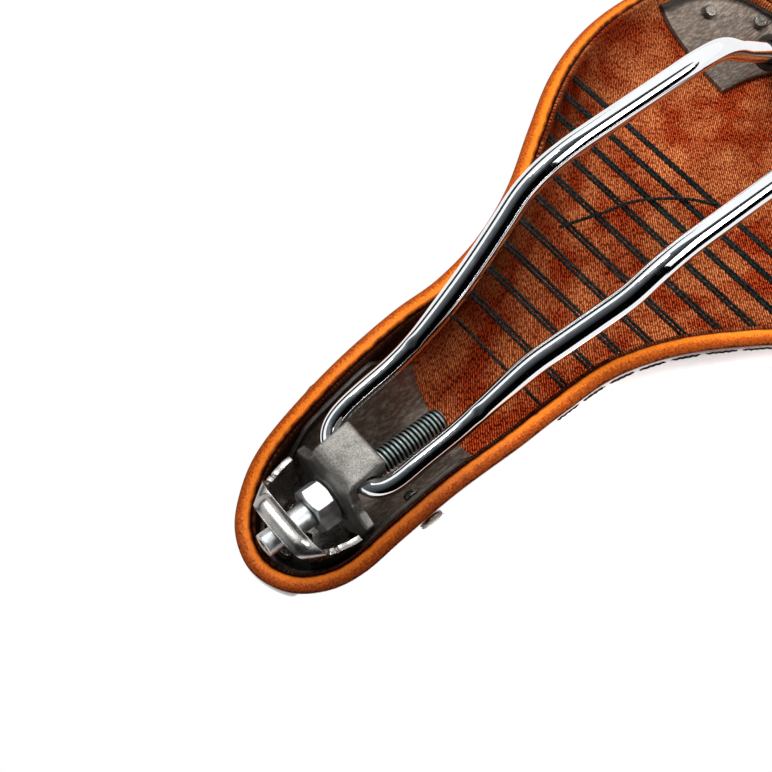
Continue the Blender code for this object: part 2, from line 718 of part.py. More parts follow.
def lace_strands():
    """Strands across the saddle: y, z and half width to the stitch outside the skirt.
    The first is single, and the others come in pairs."""
    strands = []
    for k in range(LACE_COUNT):
        for offset in (-LACE_STITCH / 2, LACE_STITCH / 2) if k else (0.0,):
            y = LACE_FIRST_Y + k * LACE_PITCH + offset
            u, v = skirt_place(y, LACE_RISE)
            normal = leather_normal(u, v)
            out = LEATHER_THICK / 2 + CORD_DIAMETER / 2 + LACE_STITCH_STANDOFF
            place = leather_point(u, v)
            strands.append((y, place.z, place.x + out / normal.x))
    return strands


def rounded(points, radius):
    """Path with each corner cut back and rounded by three points."""
    path = [points[0]]
    for before, corner, after in zip(points, points[1:], points[2:]):
        a = corner + (before - corner).normalized() * radius
        b = corner + (after - corner).normalized() * radius
        path += [a, (a + b) / 4 + corner / 2, b]
    path.append(points[-1])
    return path


def lace_path(strands):
    corners = []
    for k, (y, z, half) in enumerate(strands):
        side = -1 if k % 2 == 0 else 1
        start, end = Vector((-side * half, y, z)), Vector((side * half, y, z))
        if k == 0:
            start.x = -side * (half - LEATHER_THICK - 6.0 * MM)
        if k == len(strands) - 1:
            end.x = side * (half - LEATHER_THICK - 6.0 * MM)
        corners += [start, end]
    return rounded(corners, LACE_CORNER)


def tie_path(strands):
    """Loose end of the lacing: it runs on the underside of the strands, along the saddle."""
    below = CORD_DIAMETER + GAP
    points = []
    for x, y in TIE_ROUTE:
        near = min(strands, key=lambda s: abs(s[0] - y * MM))
        points.append(Vector((x * MM, y * MM, near[1] - below)))
    return points


def least_self_gap(path, diameter, apart):
    """Least clear distance between stretches of a cord that lie apart along it."""
    lengths = [0.0]
    for a, b in zip(path, path[1:]):
        lengths.append(lengths[-1] + (b - a).length)
    least = 1.0
    for i, p in enumerate(path):
        for j in range(i + 1, len(path)):
            if lengths[j] - lengths[i] > apart:
                least = min(least, (path[j] - p).length - diameter)
    return least


def main():
    clear_scene()
    parts = collection("leather_saddle")
    cutters = collection("cutters")

    hide = material("honey_leather", (0.42, 0.15, 0.035), 0.45, 0.0)
    cloth = material("rust_lining", (0.20, 0.06, 0.025), 0.9, 0.0)
    braid = material("black_cord", (0.02, 0.02, 0.02), 0.7, 0.0)
    chrome = material("chrome_plate", (0.75, 0.75, 0.76), 0.06, 1.0)
    forged = material("tumbled_steel", (0.42, 0.42, 0.40), 0.45, 1.0)
    zinc = material("zinc_plate", (0.70, 0.71, 0.72), 0.28, 1.0)
    raw = material("pressed_steel", (0.62, 0.60, 0.58), 0.35, 1.0)
    brown = material("blued_plate", (0.16, 0.13, 0.11), 0.5, 1.0)
    copper = material("rivet_steel", (0.30, 0.24, 0.18), 0.35, 1.0)

    every_u = u_rows(0, LAST_STATION)
    cover = sheet("leather_cover", [[leather_point(u, v) for v in V_ROWS] for u in every_u],
                  LEATHER_THICK, parts, hide)
    lining = sheet("lining", lining_rows(), LINING_THICK, parts, cloth)
    nose_plate = sheet("nose_plate", nose_plate_rows(), NOSE_PLATE_THICK, parts, brown)
    cup = sheet("nose_cup", cup_rows(), CUP_THICK, parts, raw)
    cantle_rows = patch_rows(CANTLE_START, LAST_STATION, CANTLE_EDGE_ROW, CANTLE_INNER_ROW, CANTLE_DEPTH)
    cantle = sheet("cantle_plate", cantle_rows, CANTLE_THICK, parts, brown)

    nose_places = rivet_places(NOSE_RIVETS)
    cantle_places = rivet_places(CANTLE_RIVETS)
    for place in nose_places + cantle_places:
        rivet(*place, parts, copper)
    spots = [(centre, normal) for name, centre, normal, stack in nose_places + cantle_places]
    holes = cutter("rivet_holes", cylinders(spots, RIVET_SHANK_RADIUS + GAP, 12 * MM, 12), cutters)
    for item in (cover, lining, nose_plate, cup, cantle):
        boolean(item, "DIFFERENCE", holes)

    strands = lace_strands()
    lines = [(Vector((0, y, z)), Vector((1, 0, 0))) for y, z, half in strands]
    reach = max(half for y, z, half in strands) + LEATHER_THICK
    lace_holes = cutter("lace_holes", cylinders(
        lines, CORD_DIAMETER / 2 + LACE_HOLE_CLEARANCE, reach, 6), cutters)
    for item in (cover, lining):
        boolean(item, "DIFFERENCE", lace_holes)
    path = lace_path(strands)
    tube("lacing_cord", path, [CORD_DIAMETER / 2] * len(path), 6, parts, braid)
    print("lacing cord least gap to itself, mm:",
          round(least_self_gap(path, CORD_DIAMETER, 4 * CORD_DIAMETER) / MM, 2))
    tie = smooth_path(tie_path(strands), 4.0 * MM)
    tube("tie_cord", tie, [CORD_DIAMETER / 2] * len(tie), 6, parts, braid)

    bore = bolt_bore(cutters)
    bolt(parts, zinc)
    nut(parts, zinc, bore)
    shackle(parts, cutters, forged, bore)

    rails = rail_path()
    tube("rails", rails, [rail_radius(p) for p in rails], 10, parts, chrome)
    space = sheet("cantle_space", patch_rows(CANTLE_START, LAST_STATION, CANTLE_EDGE_ROW, SECTION_STEPS,
                                             CANTLE_STACK + GAP - SOCKET_REACH), 2 * SOCKET_REACH, cutters)
    space.hide_render = True
    space.display_type = "WIRE"
    for side in (1, -1):
        rail_socket(side, rails, parts, brown, space)


main()
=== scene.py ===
# %% [markdown]
# # A leather saddle, dressed
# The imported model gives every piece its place. This lesson replaces each piece by a finer one, gives each
# surface the finish that it has on the real saddle, and sets the camera where the photograph was taken.
# The camera looks up from under the nose, because that is where the tension screw and the lacing are.

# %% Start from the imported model
import json
import math

import bmesh
import bpy
import numpy as np
from mathutils import Matrix, Vector

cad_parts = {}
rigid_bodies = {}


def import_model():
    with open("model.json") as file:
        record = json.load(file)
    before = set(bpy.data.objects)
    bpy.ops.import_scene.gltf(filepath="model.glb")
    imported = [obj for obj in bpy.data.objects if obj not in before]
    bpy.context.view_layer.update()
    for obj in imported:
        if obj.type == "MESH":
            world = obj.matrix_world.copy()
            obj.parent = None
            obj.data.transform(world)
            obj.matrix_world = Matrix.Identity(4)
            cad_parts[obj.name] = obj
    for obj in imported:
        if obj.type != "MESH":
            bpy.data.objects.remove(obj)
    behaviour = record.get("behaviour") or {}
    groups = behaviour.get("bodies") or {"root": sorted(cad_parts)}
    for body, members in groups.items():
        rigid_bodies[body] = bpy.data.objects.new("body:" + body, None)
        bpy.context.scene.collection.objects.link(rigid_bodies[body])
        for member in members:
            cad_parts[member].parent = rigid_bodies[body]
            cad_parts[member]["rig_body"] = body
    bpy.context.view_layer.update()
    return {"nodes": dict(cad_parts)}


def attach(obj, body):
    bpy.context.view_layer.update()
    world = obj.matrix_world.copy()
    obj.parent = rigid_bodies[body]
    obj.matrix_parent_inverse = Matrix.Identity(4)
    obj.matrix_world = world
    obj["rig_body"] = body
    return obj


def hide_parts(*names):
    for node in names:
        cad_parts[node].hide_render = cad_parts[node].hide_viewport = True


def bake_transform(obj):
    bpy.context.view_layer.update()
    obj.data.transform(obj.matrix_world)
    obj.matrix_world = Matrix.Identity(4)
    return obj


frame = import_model()
scene = bpy.context.scene
scene.view_settings.view_transform = "Standard"
MM = 0.001

# %% [markdown]
# ## Camera
# The picture was taken from under the nose, about half a metre away. The place and the turn of the camera
# come from matching the rails, the screw and the leather's rim to the picture, so these are real distances
# in the saddle's frame.

# %% Camera under the nose
CAMERA_PLACE = Vector((-168.03, -238.06, -363.13)) * MM
CAMERA_RIGHT = Vector((-0.62932, 0.77715, 0.0))
CAMERA_UP = Vector((0.67303, 0.54501, -0.5))
CAMERA_BACK = CAMERA_RIGHT.cross(CAMERA_UP)
FOCAL_PIXELS = 1630
PICTURE_PIXELS = 772


def photo_camera():
    data = bpy.data.cameras.new("photo_camera")
    data.sensor_width = 36
    data.lens = data.sensor_width * FOCAL_PIXELS / PICTURE_PIXELS
    data.clip_start = 0.01
    camera = bpy.data.objects.new("photo_camera", data)
    turn = Matrix((CAMERA_RIGHT, CAMERA_UP, CAMERA_BACK)).transposed().to_4x4()
    camera.matrix_world = Matrix.Translation(CAMERA_PLACE) @ turn
    scene.collection.objects.link(camera)
    scene.camera = camera
    return camera


camera = photo_camera()
print("lens in mm", round(camera.data.lens, 1))

# %% [markdown]
# ## Small helpers
# Each finish is a node tree, so one function adds a node with its settings and links. Colours are written
# as the hex values that a colour picker shows, and one function turns them to the linear values that the
# shader wants.

# %% Node and mesh helpers


def add(tree, kind, inputs=None, **settings):
    """A node with its settings; an input is a value, or a socket to link from."""
    node = tree.nodes.new(kind)
    for key, value in settings.items():
        setattr(node, key, value)
    for key, value in (inputs or {}).items():
        if isinstance(value, bpy.types.NodeSocket):
            tree.links.new(value, node.inputs[key])
        else:
            node.inputs[key].default_value = value
    return node


def linear(code):
    """Linear colour of an sRGB hex value."""
    shares = [int(code[k:k + 2], 16) / 255 for k in (1, 3, 5)]
    return [s / 12.92 if s <= 0.04045 else ((s + 0.055) / 1.055) ** 2.4 for s in shares] + [1.0]


def finish_material(name, **sockets):
    """An empty finish: its tree and its shader, with the values that are the same all over."""
    made = bpy.data.materials.new(name)
    made.use_nodes = True
    shader = made.node_tree.nodes["Principled BSDF"]
    for key, value in sockets.items():
        shader.inputs[key.replace("_", " ")].default_value = value
    return made, made.node_tree, shader


SHARP_CORNER = math.radians(38)
ALL_SMOOTH = math.pi


def mesh_piece(name, work, finish):
    """Piece from a filled bmesh, smooth but for corners sharper than SHARP_CORNER."""
    bmesh.ops.recalc_face_normals(work, faces=work.faces)
    mesh = bpy.data.meshes.new(name)
    work.to_mesh(mesh)
    work.free()
    mesh.shade_smooth()
    mesh.set_sharp_from_angle(angle=SHARP_CORNER)
    mesh.materials.append(finish)
    piece = bpy.data.objects.new(name, mesh)
    scene.collection.objects.link(piece)
    return piece


def stand_for(piece, node, body):
    """The piece takes a node's place and rides on its body."""
    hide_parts(node)
    if body:
        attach(piece, body)
    return piece


def grid_faces(work, rows, loop=False):
    """Quads between rows of vertices; a loop closes each row on itself."""
    for a, b in zip(rows, rows[1:]):
        count = len(a)
        for k in range(count if loop else count - 1):
            m = (k + 1) % count
            work.faces.new((a[k], a[m], b[m], b[k]))


def eased(piece, width, corner):
    """Rounds the corners of a piece that are sharper than a given angle."""
    ease = piece.modifiers.new("ease", "BEVEL")
    ease.width = width
    ease.segments = 2
    ease.limit_method = "ANGLE"
    ease.angle_limit = corner


def thickened(piece, thickness):
    """Gives a sheet its thickness, half to each side."""
    shell = piece.modifiers.new("thickness", "SOLIDIFY")
    shell.thickness = thickness
    shell.offset = 0


def applied(piece):
    """The piece with its modifiers made real in its mesh."""
    bpy.context.view_layer.update()
    graph = bpy.context.evaluated_depsgraph_get()
    mesh = bpy.data.meshes.new_from_object(piece.evaluated_get(graph))
    piece.modifiers.clear()
    piece.data = mesh
    return piece


# %% [markdown]
# ## The saddle's shape
# The leather hangs in one smooth surface. Its rim is a row of listed stations from the nose to the
# cantle, and each section rises steeply up the skirt and turns over to the crown. Every sheet under the
# leather follows the same surface at its own depth, so the sheets never cross.

# %% Rim stations and the surface through them
# Half width, y and z of the rim, then the y of the crown point, in mm on the middle of the leather
RIM_STATIONS = [
    (0.0, -149.2, 59.5, -133.0), (10.9, -145.8, 58.6, -132.0), (18.3, -138.0, 55.3, -129.5),
    (22.2, -129.0, 49.7, -124.5), (23.5, -116.5, 42.5, -115.0), (24.6, -98.0, 35.5, -98.0),
    (25.8, -77.0, 32.4, -77.0), (25.8, -60.0, 31.4, -58.0), (27.9, -43.0, 27.6, -40.0),
    (35.0, -25.0, 25.3, -20.0), (47.0, -6.0, 24.5, 0.0), (60.0, 14.0, 28.0, 20.0),
    (71.5, 36.0, 36.0, 41.0), (79.5, 58.0, 44.5, 60.0), (83.0, 80.0, 51.5, 76.0),
    (80.0, 100.0, 56.0, 88.0), (68.0, 114.5, 58.5, 95.0), (46.0, 121.0, 59.5, 99.0),
    (23.0, 122.8, 59.3, 100.5), (0.0, 123.0, 59.0, 101.0),
]
CROWN_LINE = [
    (-133.0, 74.6), (-115.0, 75.4), (-90.0, 74.2), (-60.0, 70.6), (-20.0, 66.3),
    (20.0, 65.0), (55.0, 68.3), (85.0, 73.8), (101.0, 75.2),
]
SKIRT_RISE, SKIRT_LEAN, CROWN_REACH = 0.80, 0.05, 0.60
# Pieces that touch are this far apart in the model
GAP = 0.3 * MM
# Points closer than this are joined
JOIN = 0.01 * MM
LAST_STATION = len(RIM_STATIONS) - 1


def hermite(knots, points, t):
    """Smooth curve through points at rising knots."""
    last = len(knots) - 1
    i = max(0, min(last - 1, next((k for k in range(last) if t <= knots[k + 1]), last - 1)))

    def tangent(k):
        a, b = max(0, k - 1), min(last, k + 1)
        return (points[b] - points[a]) / (knots[b] - knots[a])

    span = knots[i + 1] - knots[i]
    s = (t - knots[i]) / span
    return (points[i] * (2 * s**3 - 3 * s**2 + 1) + tangent(i) * ((s**3 - 2 * s**2 + s) * span)
            + points[i + 1] * (3 * s**2 - 2 * s**3) + tangent(i + 1) * ((s**3 - s**2) * span))


def mirrored_ends(rows):
    points = [Vector(row) * MM for row in rows]
    flip = (-1, 1, 1, 1)
    return ([Vector(a * b for a, b in zip(points[1], flip))] + points
            + [Vector(a * b for a, b in zip(points[-2], flip))])


RIM_POINTS = mirrored_ends(RIM_STATIONS)
RIM_KNOTS = list(range(-1, len(RIM_STATIONS) + 1))
CROWN_KNOTS = [y * MM for y, z in CROWN_LINE]
CROWN_POINTS = [Vector((z * MM, 0)) for y, z in CROWN_LINE]


def crown_z(y):
    return hermite(CROWN_KNOTS, CROWN_POINTS, y)[0]


def leather_point(u, v):
    """Point on the leather's middle: u counts stations, v runs from the rim to the crown."""
    half, y, z, crown_y = hermite(RIM_KNOTS, RIM_POINTS, u)
    rim = Vector((half, y, z))
    crown = Vector((0, crown_y, crown_z(crown_y)))
    slope = (crown_z(crown_y + MM) - crown_z(crown_y - MM)) / (2 * MM)
    inward = Vector((-half, crown_y - y, 0))
    low = rim + inward * SKIRT_LEAN + Vector((0, 0, (crown.z - z) * SKIRT_RISE))
    high = crown - Vector((-half, crown_y - y, slope * (crown_y - y))) * CROWN_REACH
    w = 1 - v
    return rim * w**3 + low * (3 * w * w * v) + high * (3 * w * v * v) + crown * v**3


NEAR_END = 0.001
STEP_U, STEP_V = 0.02, 0.01


def leather_normal(u, v):
    """Outward normal; on the middle plane it has no sideways part."""
    ends = u < NEAR_END or u > LAST_STATION - NEAR_END
    a, b = max(0.0, u - STEP_U), min(float(LAST_STATION), u + STEP_U)
    along = leather_point(b, v) - leather_point(a, v)
    across = leather_point(u, min(1.0, v + STEP_V)) - leather_point(u, v - STEP_V)
    normal = along.cross(across)
    if v > 1 - NEAR_END and ends:
        y = leather_point(u, 1).y
        normal = Vector((0, -(crown_z(y + MM) - crown_z(y - MM)) / (2 * MM), 1))
    if v > 1 - NEAR_END or ends:
        normal.x = 0
    normal.normalize()
    outward = normal.z > 0 or normal.x > 0 or normal.dot(leather_point(u, v)) > 0
    return normal if outward else -normal


def layer_point(u, v, depth):
    return leather_point(u, v) - leather_normal(u, v) * depth


HALVINGS = 36


def solve(function, low, high):
    """Root of a function that changes sign between low and high, by halving."""
    rising = function(high) > 0
    for _ in range(HALVINGS):
        middle = (low + high) / 2
        if (function(middle) > 0) == rising:
            high = middle
        else:
            low = middle
    return (low + high) / 2


def spread(start, end, count):
    return [start + (end - start) * k / count for k in range(count + 1)]


print("leather nose at", [round(x / MM, 1) for x in leather_point(0, 0)])

# %% [markdown]
# ## Leather
# The cover is a vegetable-tanned cowhide, wet-moulded and then waxed: the grain side is glossy red-brown,
# and the cut edge shows the fibres. The flesh half of the edge took the dye bright orange, and the grain
# half stayed dense, brown and speckled. A solid could be thickened from one sheet, but its edge would be
# square, so one section is drawn from the crown down the outside, round the edge and up the inside, and
# swept round the rim. Each point keeps its share of the way through the hide, so one finish can change
# across the edge.

# %% Tanned hide finish
LEATHER_THICK = 4.9 * MM
EDGE_OUTER_ROUND = 1.9 * MM
EDGE_INNER_ROUND = 1.5 * MM
# Colours through the hide: share of the thickness from the grain side, and sRGB value
# From 0.9 to the flesh side the edge darkens: partly a dark line in the hide, partly painted shade under the
# inner round
EDGE_COLOURS = [
    (0.0, "#6A260C"), (0.03, "#7E3210"), (0.08, "#B4521C"), (0.18, "#A84A14"), (0.42, "#C85C15"),
    (0.58, "#F88022"), (0.80, "#FC8628"), (0.90, "#A34C10"), (0.96, "#4E1D08"), (1.0, "#260C05"),
]


def tanned_hide():
    made, tree, shader = finish_material("tanned_hide", IOR=1.5, Coat_Roughness=0.14,
                                         Specular_IOR_Level=0.06)
    place = add(tree, "ShaderNodeTexCoord").outputs["Object"]
    through = add(tree, "ShaderNodeAttribute", attribute_name="through_hide").outputs["Fac"]
    # Dye takes unevenly over some 14 mm; pores and creases of the grain are about 0.9 mm apart
    dye = add(tree, "ShaderNodeTexNoise", {"Vector": place, "Scale": 1 / (14 * MM), "Detail": 5.0})
    pores = add(tree, "ShaderNodeTexVoronoi", {"Vector": place, "Scale": 1 / (0.9 * MM)},
                feature="DISTANCE_TO_EDGE")
    # Cut fibre bundles are about 0.2 mm; specks of 0.6 mm are the finest that show
    fibres = add(tree, "ShaderNodeTexNoise", {"Vector": place, "Scale": 1 / (0.6 * MM), "Detail": 3.0,
                                              "Roughness": 0.65})
    # The knife and the dye wander by a few tenths of a millimetre every 3 mm
    wander = add(tree, "ShaderNodeTexNoise", {"Vector": place, "Scale": 1 / (3 * MM), "Detail": 3.0})
    frayed = add(tree, "ShaderNodeMath", {0: wander.outputs["Fac"], 1: fibres.outputs["Fac"]})
    shift = add(tree, "ShaderNodeMapRange", {"Value": frayed.outputs[0], "From Min": 0.6, "From Max": 1.4,
                                             "To Min": -0.09, "To Max": 0.09})
    depth = add(tree, "ShaderNodeMath", {0: through, 1: shift.outputs[0]})
    ramp = add(tree, "ShaderNodeValToRGB", {"Fac": depth.outputs[0]})
    stops = ramp.color_ramp.elements
    for k, (share, code) in enumerate(EDGE_COLOURS):
        stop = stops[k] if k < 2 else stops.new(share)
        stop.position = share
        stop.color = linear(code)
    # The grain half is speckled, and the flesh half is more even
    speck = add(tree, "ShaderNodeMapRange", {"Value": fibres.outputs["Fac"], "From Min": 0.36,
                                             "From Max": 0.6, "To Min": 0.45, "To Max": 1.15})
    even = add(tree, "ShaderNodeMapRange", {"Value": through, "From Min": 0.45, "From Max": 0.65,
                                            "To Max": 0.6})
    speckle = add(tree, "ShaderNodeMix", {"Factor": even.outputs[0], 2: speck.outputs[0], 3: 1.0})
    fresh = add(tree, "ShaderNodeMix", {"Factor": 1.0, 6: ramp.outputs[0], 7: speckle.outputs[0]},
                data_type="RGBA", blend_type="MULTIPLY")
    # Painted shade: the cut edge is darkened in front of the lacing, and most on its right side, away from
    # the light
    spot = add(tree, "ShaderNodeSeparateXYZ", {"Vector": place}).outputs
    to_front = add(tree, "ShaderNodeMapRange", {"Value": spot["Y"], "From Min": -55 * MM,
                                                "From Max": -105 * MM})
    to_right = add(tree, "ShaderNodeMapRange", {"Value": spot["X"], "From Min": 10 * MM,
                                                "From Max": -20 * MM, "To Min": 0.24, "To Max": 0.62})
    edge_shade = add(tree, "ShaderNodeMath", {0: to_front.outputs[0], 1: to_right.outputs[0]},
                  operation="MULTIPLY")
    cut = add(tree, "ShaderNodeMix", {"Factor": edge_shade.outputs[0], 6: fresh.outputs[2],
                                      7: linear("#3A0E04")}, data_type="RGBA")
    dye_share = add(tree, "ShaderNodeMapRange", {"Value": dye.outputs["Fac"], "From Min": 0.3,
                                                 "From Max": 0.7})
    grain = add(tree, "ShaderNodeMix", {"Factor": dye_share.outputs[0], 6: linear("#7A2E0E"),
                                        7: linear("#A84C1A")}, data_type="RGBA")
    on_edge = add(tree, "ShaderNodeMapRange", {"Value": through, "From Min": 0.003, "From Max": 0.02})
    colour = add(tree, "ShaderNodeMix", {"Factor": on_edge.outputs[0], 6: grain.outputs[2],
                                         7: cut.outputs[2]}, data_type="RGBA")
    tree.links.new(colour.outputs[2], shader.inputs["Base Color"])
    rough = add(tree, "ShaderNodeMapRange", {"Value": on_edge.outputs[0], "To Min": 0.3, "To Max": 0.6})
    tree.links.new(rough.outputs[0], shader.inputs["Roughness"])
    wax = add(tree, "ShaderNodeMapRange", {"Value": on_edge.outputs[0], "To Min": 0.9, "To Max": 0.01})
    tree.links.new(wax.outputs[0], shader.inputs["Coat Weight"])
    height = add(tree, "ShaderNodeMix", {"Factor": on_edge.outputs[0], 2: pores.outputs["Distance"],
                                         3: fibres.outputs["Fac"]})
    bump = add(tree, "ShaderNodeBump", {"Height": height.outputs[0], "Strength": 0.4,
                                        "Distance": 0.15 * MM})
    tree.links.new(bump.outputs[0], shader.inputs["Normal"])
    return made


hide = tanned_hide()
print("hide nodes", len(hide.node_tree.nodes))

# %% Leather section, swept round the rim
RIM_FINENESS = 8
# The inside starts a little above the end of the inner round
INNER_START = 1.2 * EDGE_INNER_ROUND


def leather_section(u, outer_steps=34, round_steps=8, inner_steps=26):
    """Points round one section, each with its share of the way through the hide."""
    half = LEATHER_THICK / 2
    rim, normal = leather_point(u, 0), leather_normal(u, 0.0)
    rise = (leather_point(u, 2 * STEP_V) - rim).normalized()
    reach = (leather_point(u, STEP_V) - rim).length / STEP_V
    points = [(layer_point(u, v, -half), 0.0) for v in spread(1, EDGE_OUTER_ROUND / reach, outer_steps)]
    for k in range(1, round_steps + 1):
        angle = math.pi / 2 * k / round_steps
        out = half - EDGE_OUTER_ROUND * (1 - math.cos(angle))
        up = EDGE_OUTER_ROUND * (1 - math.sin(angle))
        points.append((rim + rise * up + normal * out, 0.5 - out / LEATHER_THICK))
    for k in range(round_steps + 1):
        angle = math.pi / 2 * k / round_steps
        out = EDGE_INNER_ROUND * (1 - math.sin(angle)) - half
        up = EDGE_INNER_ROUND * (1 - math.cos(angle))
        points.append((rim + rise * up + normal * out, 0.5 - out / LEATHER_THICK))
    points += [(layer_point(u, v, half), 1.0) for v in spread(INNER_START / reach, 1, inner_steps)]
    return points


def two_sided(work, sections, layer=None):
    """Half sections and their mirror images, joined on the middle plane."""
    for side in (1, -1):
        rows = []
        for section in sections:
            row = []
            for point, share in section:
                vert = work.verts.new((point.x * side, point.y, point.z))
                if layer is not None:
                    vert[layer] = share
                row.append(vert)
            rows.append(row)
        grid_faces(work, rows)
    bmesh.ops.remove_doubles(work, verts=work.verts, dist=JOIN)


def leather_piece(finish):
    work = bmesh.new()
    layer = work.verts.layers.float.new("through_hide")
    stations = spread(0, LAST_STATION, LAST_STATION * RIM_FINENESS)
    two_sided(work, [leather_section(u) for u in stations], layer)
    piece = mesh_piece("leather", work, finish)
    piece.data.set_sharp_from_angle(angle=ALL_SMOOTH)
    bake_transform(piece)
    return stand_for(piece, "leather_cover", None)


leather = leather_piece(hide)
print("leather faces", len(leather.data.polygons))

# %% [markdown]
# ## Lining
# A thin cotton drill is glued to the flesh side. It is a twill, so its ribs run aslant, here at 54 degrees
# to the saddle's length. Each point keeps its distance across, along and from the rim, and the ribs are
# drawn from those, so they follow the curve of the shell. An image could give the weave too, but a wave
# needs no file.

# %% Cotton drill finish
LINING_THICK = 0.8 * MM
LINING_MARGIN = 1.2 * MM
LINING_DEPTH = LEATHER_THICK / 2 + GAP + LINING_THICK / 2
TWILL_ANGLE = math.radians(54)
# A wave texture of scale 1 repeats after this length
WAVE_LENGTH = 0.314


def cotton_drill():
    made, tree, shader = finish_material("cotton_drill", IOR=1.45, Roughness=0.9, Specular_IOR_Level=0.02)
    cloth = add(tree, "ShaderNodeAttribute", attribute_name="cloth").outputs["Vector"]
    # Ribs are 0.7 mm apart; each is broken into floats about 1.1 mm long, which catch the light as dots
    turned = add(tree, "ShaderNodeVectorRotate", {"Vector": cloth, "Angle": TWILL_ANGLE},
                 rotation_type="Z_AXIS")
    ribs = add(tree, "ShaderNodeTexWave", {"Vector": turned.outputs[0], "Scale": WAVE_LENGTH / (0.7 * MM),
                                           "Distortion": 0.8, "Detail": 1.0}, bands_direction="X")
    floats = add(tree, "ShaderNodeMapping", {"Vector": turned.outputs[0],
                                             "Scale": (1 / (0.6 * MM), 1 / (1.1 * MM), 1.0)})
    dots = add(tree, "ShaderNodeTexNoise", {"Vector": floats.outputs[0], "Scale": 1.0, "Detail": 2.0})
    dot_share = add(tree, "ShaderNodeMapRange", {"Value": dots.outputs["Fac"], "From Min": 0.4,
                                                 "From Max": 0.62, "To Min": 0.05, "To Max": 1.4})
    level = add(tree, "ShaderNodeMath", {0: ribs.outputs["Fac"], 1: dot_share.outputs[0]},
                operation="MULTIPLY")
    # Wear and dye change over some 15 mm
    patches = add(tree, "ShaderNodeTexNoise", {"Vector": cloth, "Scale": 1 / (15 * MM), "Detail": 3.0})
    patch_share = add(tree, "ShaderNodeMapRange", {"Value": patches.outputs["Fac"], "From Min": 0.38,
                                                   "From Max": 0.62})
    low = add(tree, "ShaderNodeMix", {"Factor": patch_share.outputs[0], 6: linear("#340A04"),
                                      7: linear("#74220B")}, data_type="RGBA")
    high = add(tree, "ShaderNodeMix", {"Factor": patch_share.outputs[0], 6: linear("#DE5424"),
                                       7: linear("#FFA262")}, data_type="RGBA")
    colour = add(tree, "ShaderNodeMix", {"Factor": level.outputs[0], 6: low.outputs[2], 7: high.outputs[2]},
                 data_type="RGBA")
    # Painted shade: black in the nose, and dark for 30 mm along the rim, more so to the front
    where = add(tree, "ShaderNodeSeparateXYZ", {"Vector": cloth}).outputs
    nose = add(tree, "ShaderNodeMapRange", {"Value": where["Y"], "From Min": -98 * MM,
                                            "From Max": -118 * MM, "To Max": 0.93})
    front = add(tree, "ShaderNodeMapRange", {"Value": where["Y"], "From Min": 30 * MM,
                                             "From Max": -70 * MM, "To Min": 0.3})
    margin = add(tree, "ShaderNodeMapRange", {"Value": where["Z"], "From Min": 30 * MM,
                                              "From Max": 5 * MM, "To Max": 0.95})
    skirt = add(tree, "ShaderNodeMath", {0: front.outputs[0], 1: margin.outputs[0]}, operation="MULTIPLY")
    lining_shade = add(tree, "ShaderNodeMath", {0: nose.outputs[0], 1: skirt.outputs[0]}, operation="MAXIMUM")
    colour = add(tree, "ShaderNodeMix", {"Factor": lining_shade.outputs[0], 6: colour.outputs[2],
                                         7: linear("#120806")}, data_type="RGBA")
    tree.links.new(colour.outputs[2], shader.inputs["Base Color"])
    bump = add(tree, "ShaderNodeBump", {"Height": level.outputs[0], "Strength": 0.8,
                                        "Distance": 0.25 * MM})
    tree.links.new(bump.outputs[0], shader.inputs["Normal"])
    return made


drill = cotton_drill()
print("drill nodes", len(drill.node_tree.nodes))

# %% Lining sheet
LINING_STEPS = 26


def lining_piece(finish):
    """Sheet inside the leather; each vertex keeps its distance across, along and from the rim."""
    work = bmesh.new()
    layer = work.verts.layers.float_vector.new("cloth")
    for side in (1, -1):
        rows = []
        for u in spread(0, LAST_STATION, LAST_STATION * RIM_FINENESS):
            rim_z = leather_point(u, 0).z
            start = solve(lambda v: leather_point(u, v).z - rim_z - LINING_MARGIN, 0.0, 0.5)
            points = [layer_point(u, v, LINING_DEPTH) for v in spread(1, start, LINING_STEPS)]
            reach = np.cumsum([0.0] + [(b - a).length for a, b in zip(points, points[1:])])
            row = []
            for point, across in zip(points, reach):
                vert = work.verts.new((point.x * side, point.y, point.z))
                vert[layer] = (across * side, point.y, reach[-1] - across)
                row.append(vert)
            rows.append(row)
        grid_faces(work, rows)
    bmesh.ops.remove_doubles(work, verts=work.verts, dist=JOIN)
    piece = mesh_piece("drill_lining", work, finish)
    thickened(piece, LINING_THICK)
    applied(piece)
    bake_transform(piece)
    return stand_for(piece, "lining", None)


lining = lining_piece(drill)
print("lining faces", len(lining.data.polygons))

# %% [markdown]
# ## Lacing
# One braided polyester cord runs to and fro through holes above the rim and draws the skirts together. It
# has the rows of the model's cord, but the two strands of a pair lie closer, as in the picture, which the
# solids have no room for. A plain tube would look like wire, so four plies are braided along the route, two
# turning each way.

# %% Braided polyester finish


def braided_polyester():
    made, tree, shader = finish_material("braided_polyester", IOR=1.5, Roughness=0.5,
                                         Specular_IOR_Level=0.12)
    place = add(tree, "ShaderNodeTexCoord").outputs["Object"]
    # Fibres are too fine to show, so painted glints on them are drawn as pale spots of 0.5 mm
    fibre_glints = add(tree, "ShaderNodeTexNoise", {"Vector": place, "Scale": 1 / (0.5 * MM), "Detail": 3.0})
    shown = add(tree, "ShaderNodeMapRange", {"Value": fibre_glints.outputs["Fac"], "From Min": 0.5,
                                             "From Max": 0.7})
    colour = add(tree, "ShaderNodeMix", {"Factor": shown.outputs[0], 6: linear("#030404"),
                                         7: linear("#3C4440")}, data_type="RGBA")
    tree.links.new(colour.outputs[2], shader.inputs["Base Color"])
    return made


cord_finish = braided_polyester()
print("cord nodes", len(cord_finish.node_tree.nodes))

# %% Route of the lacing
CORD_DIAMETER = 1.3 * MM
LACE_FIRST_Y, LACE_PITCH, LACE_STITCH, LACE_COUNT = -63.4 * MM, 8.7 * MM, 1.25 * MM, 11
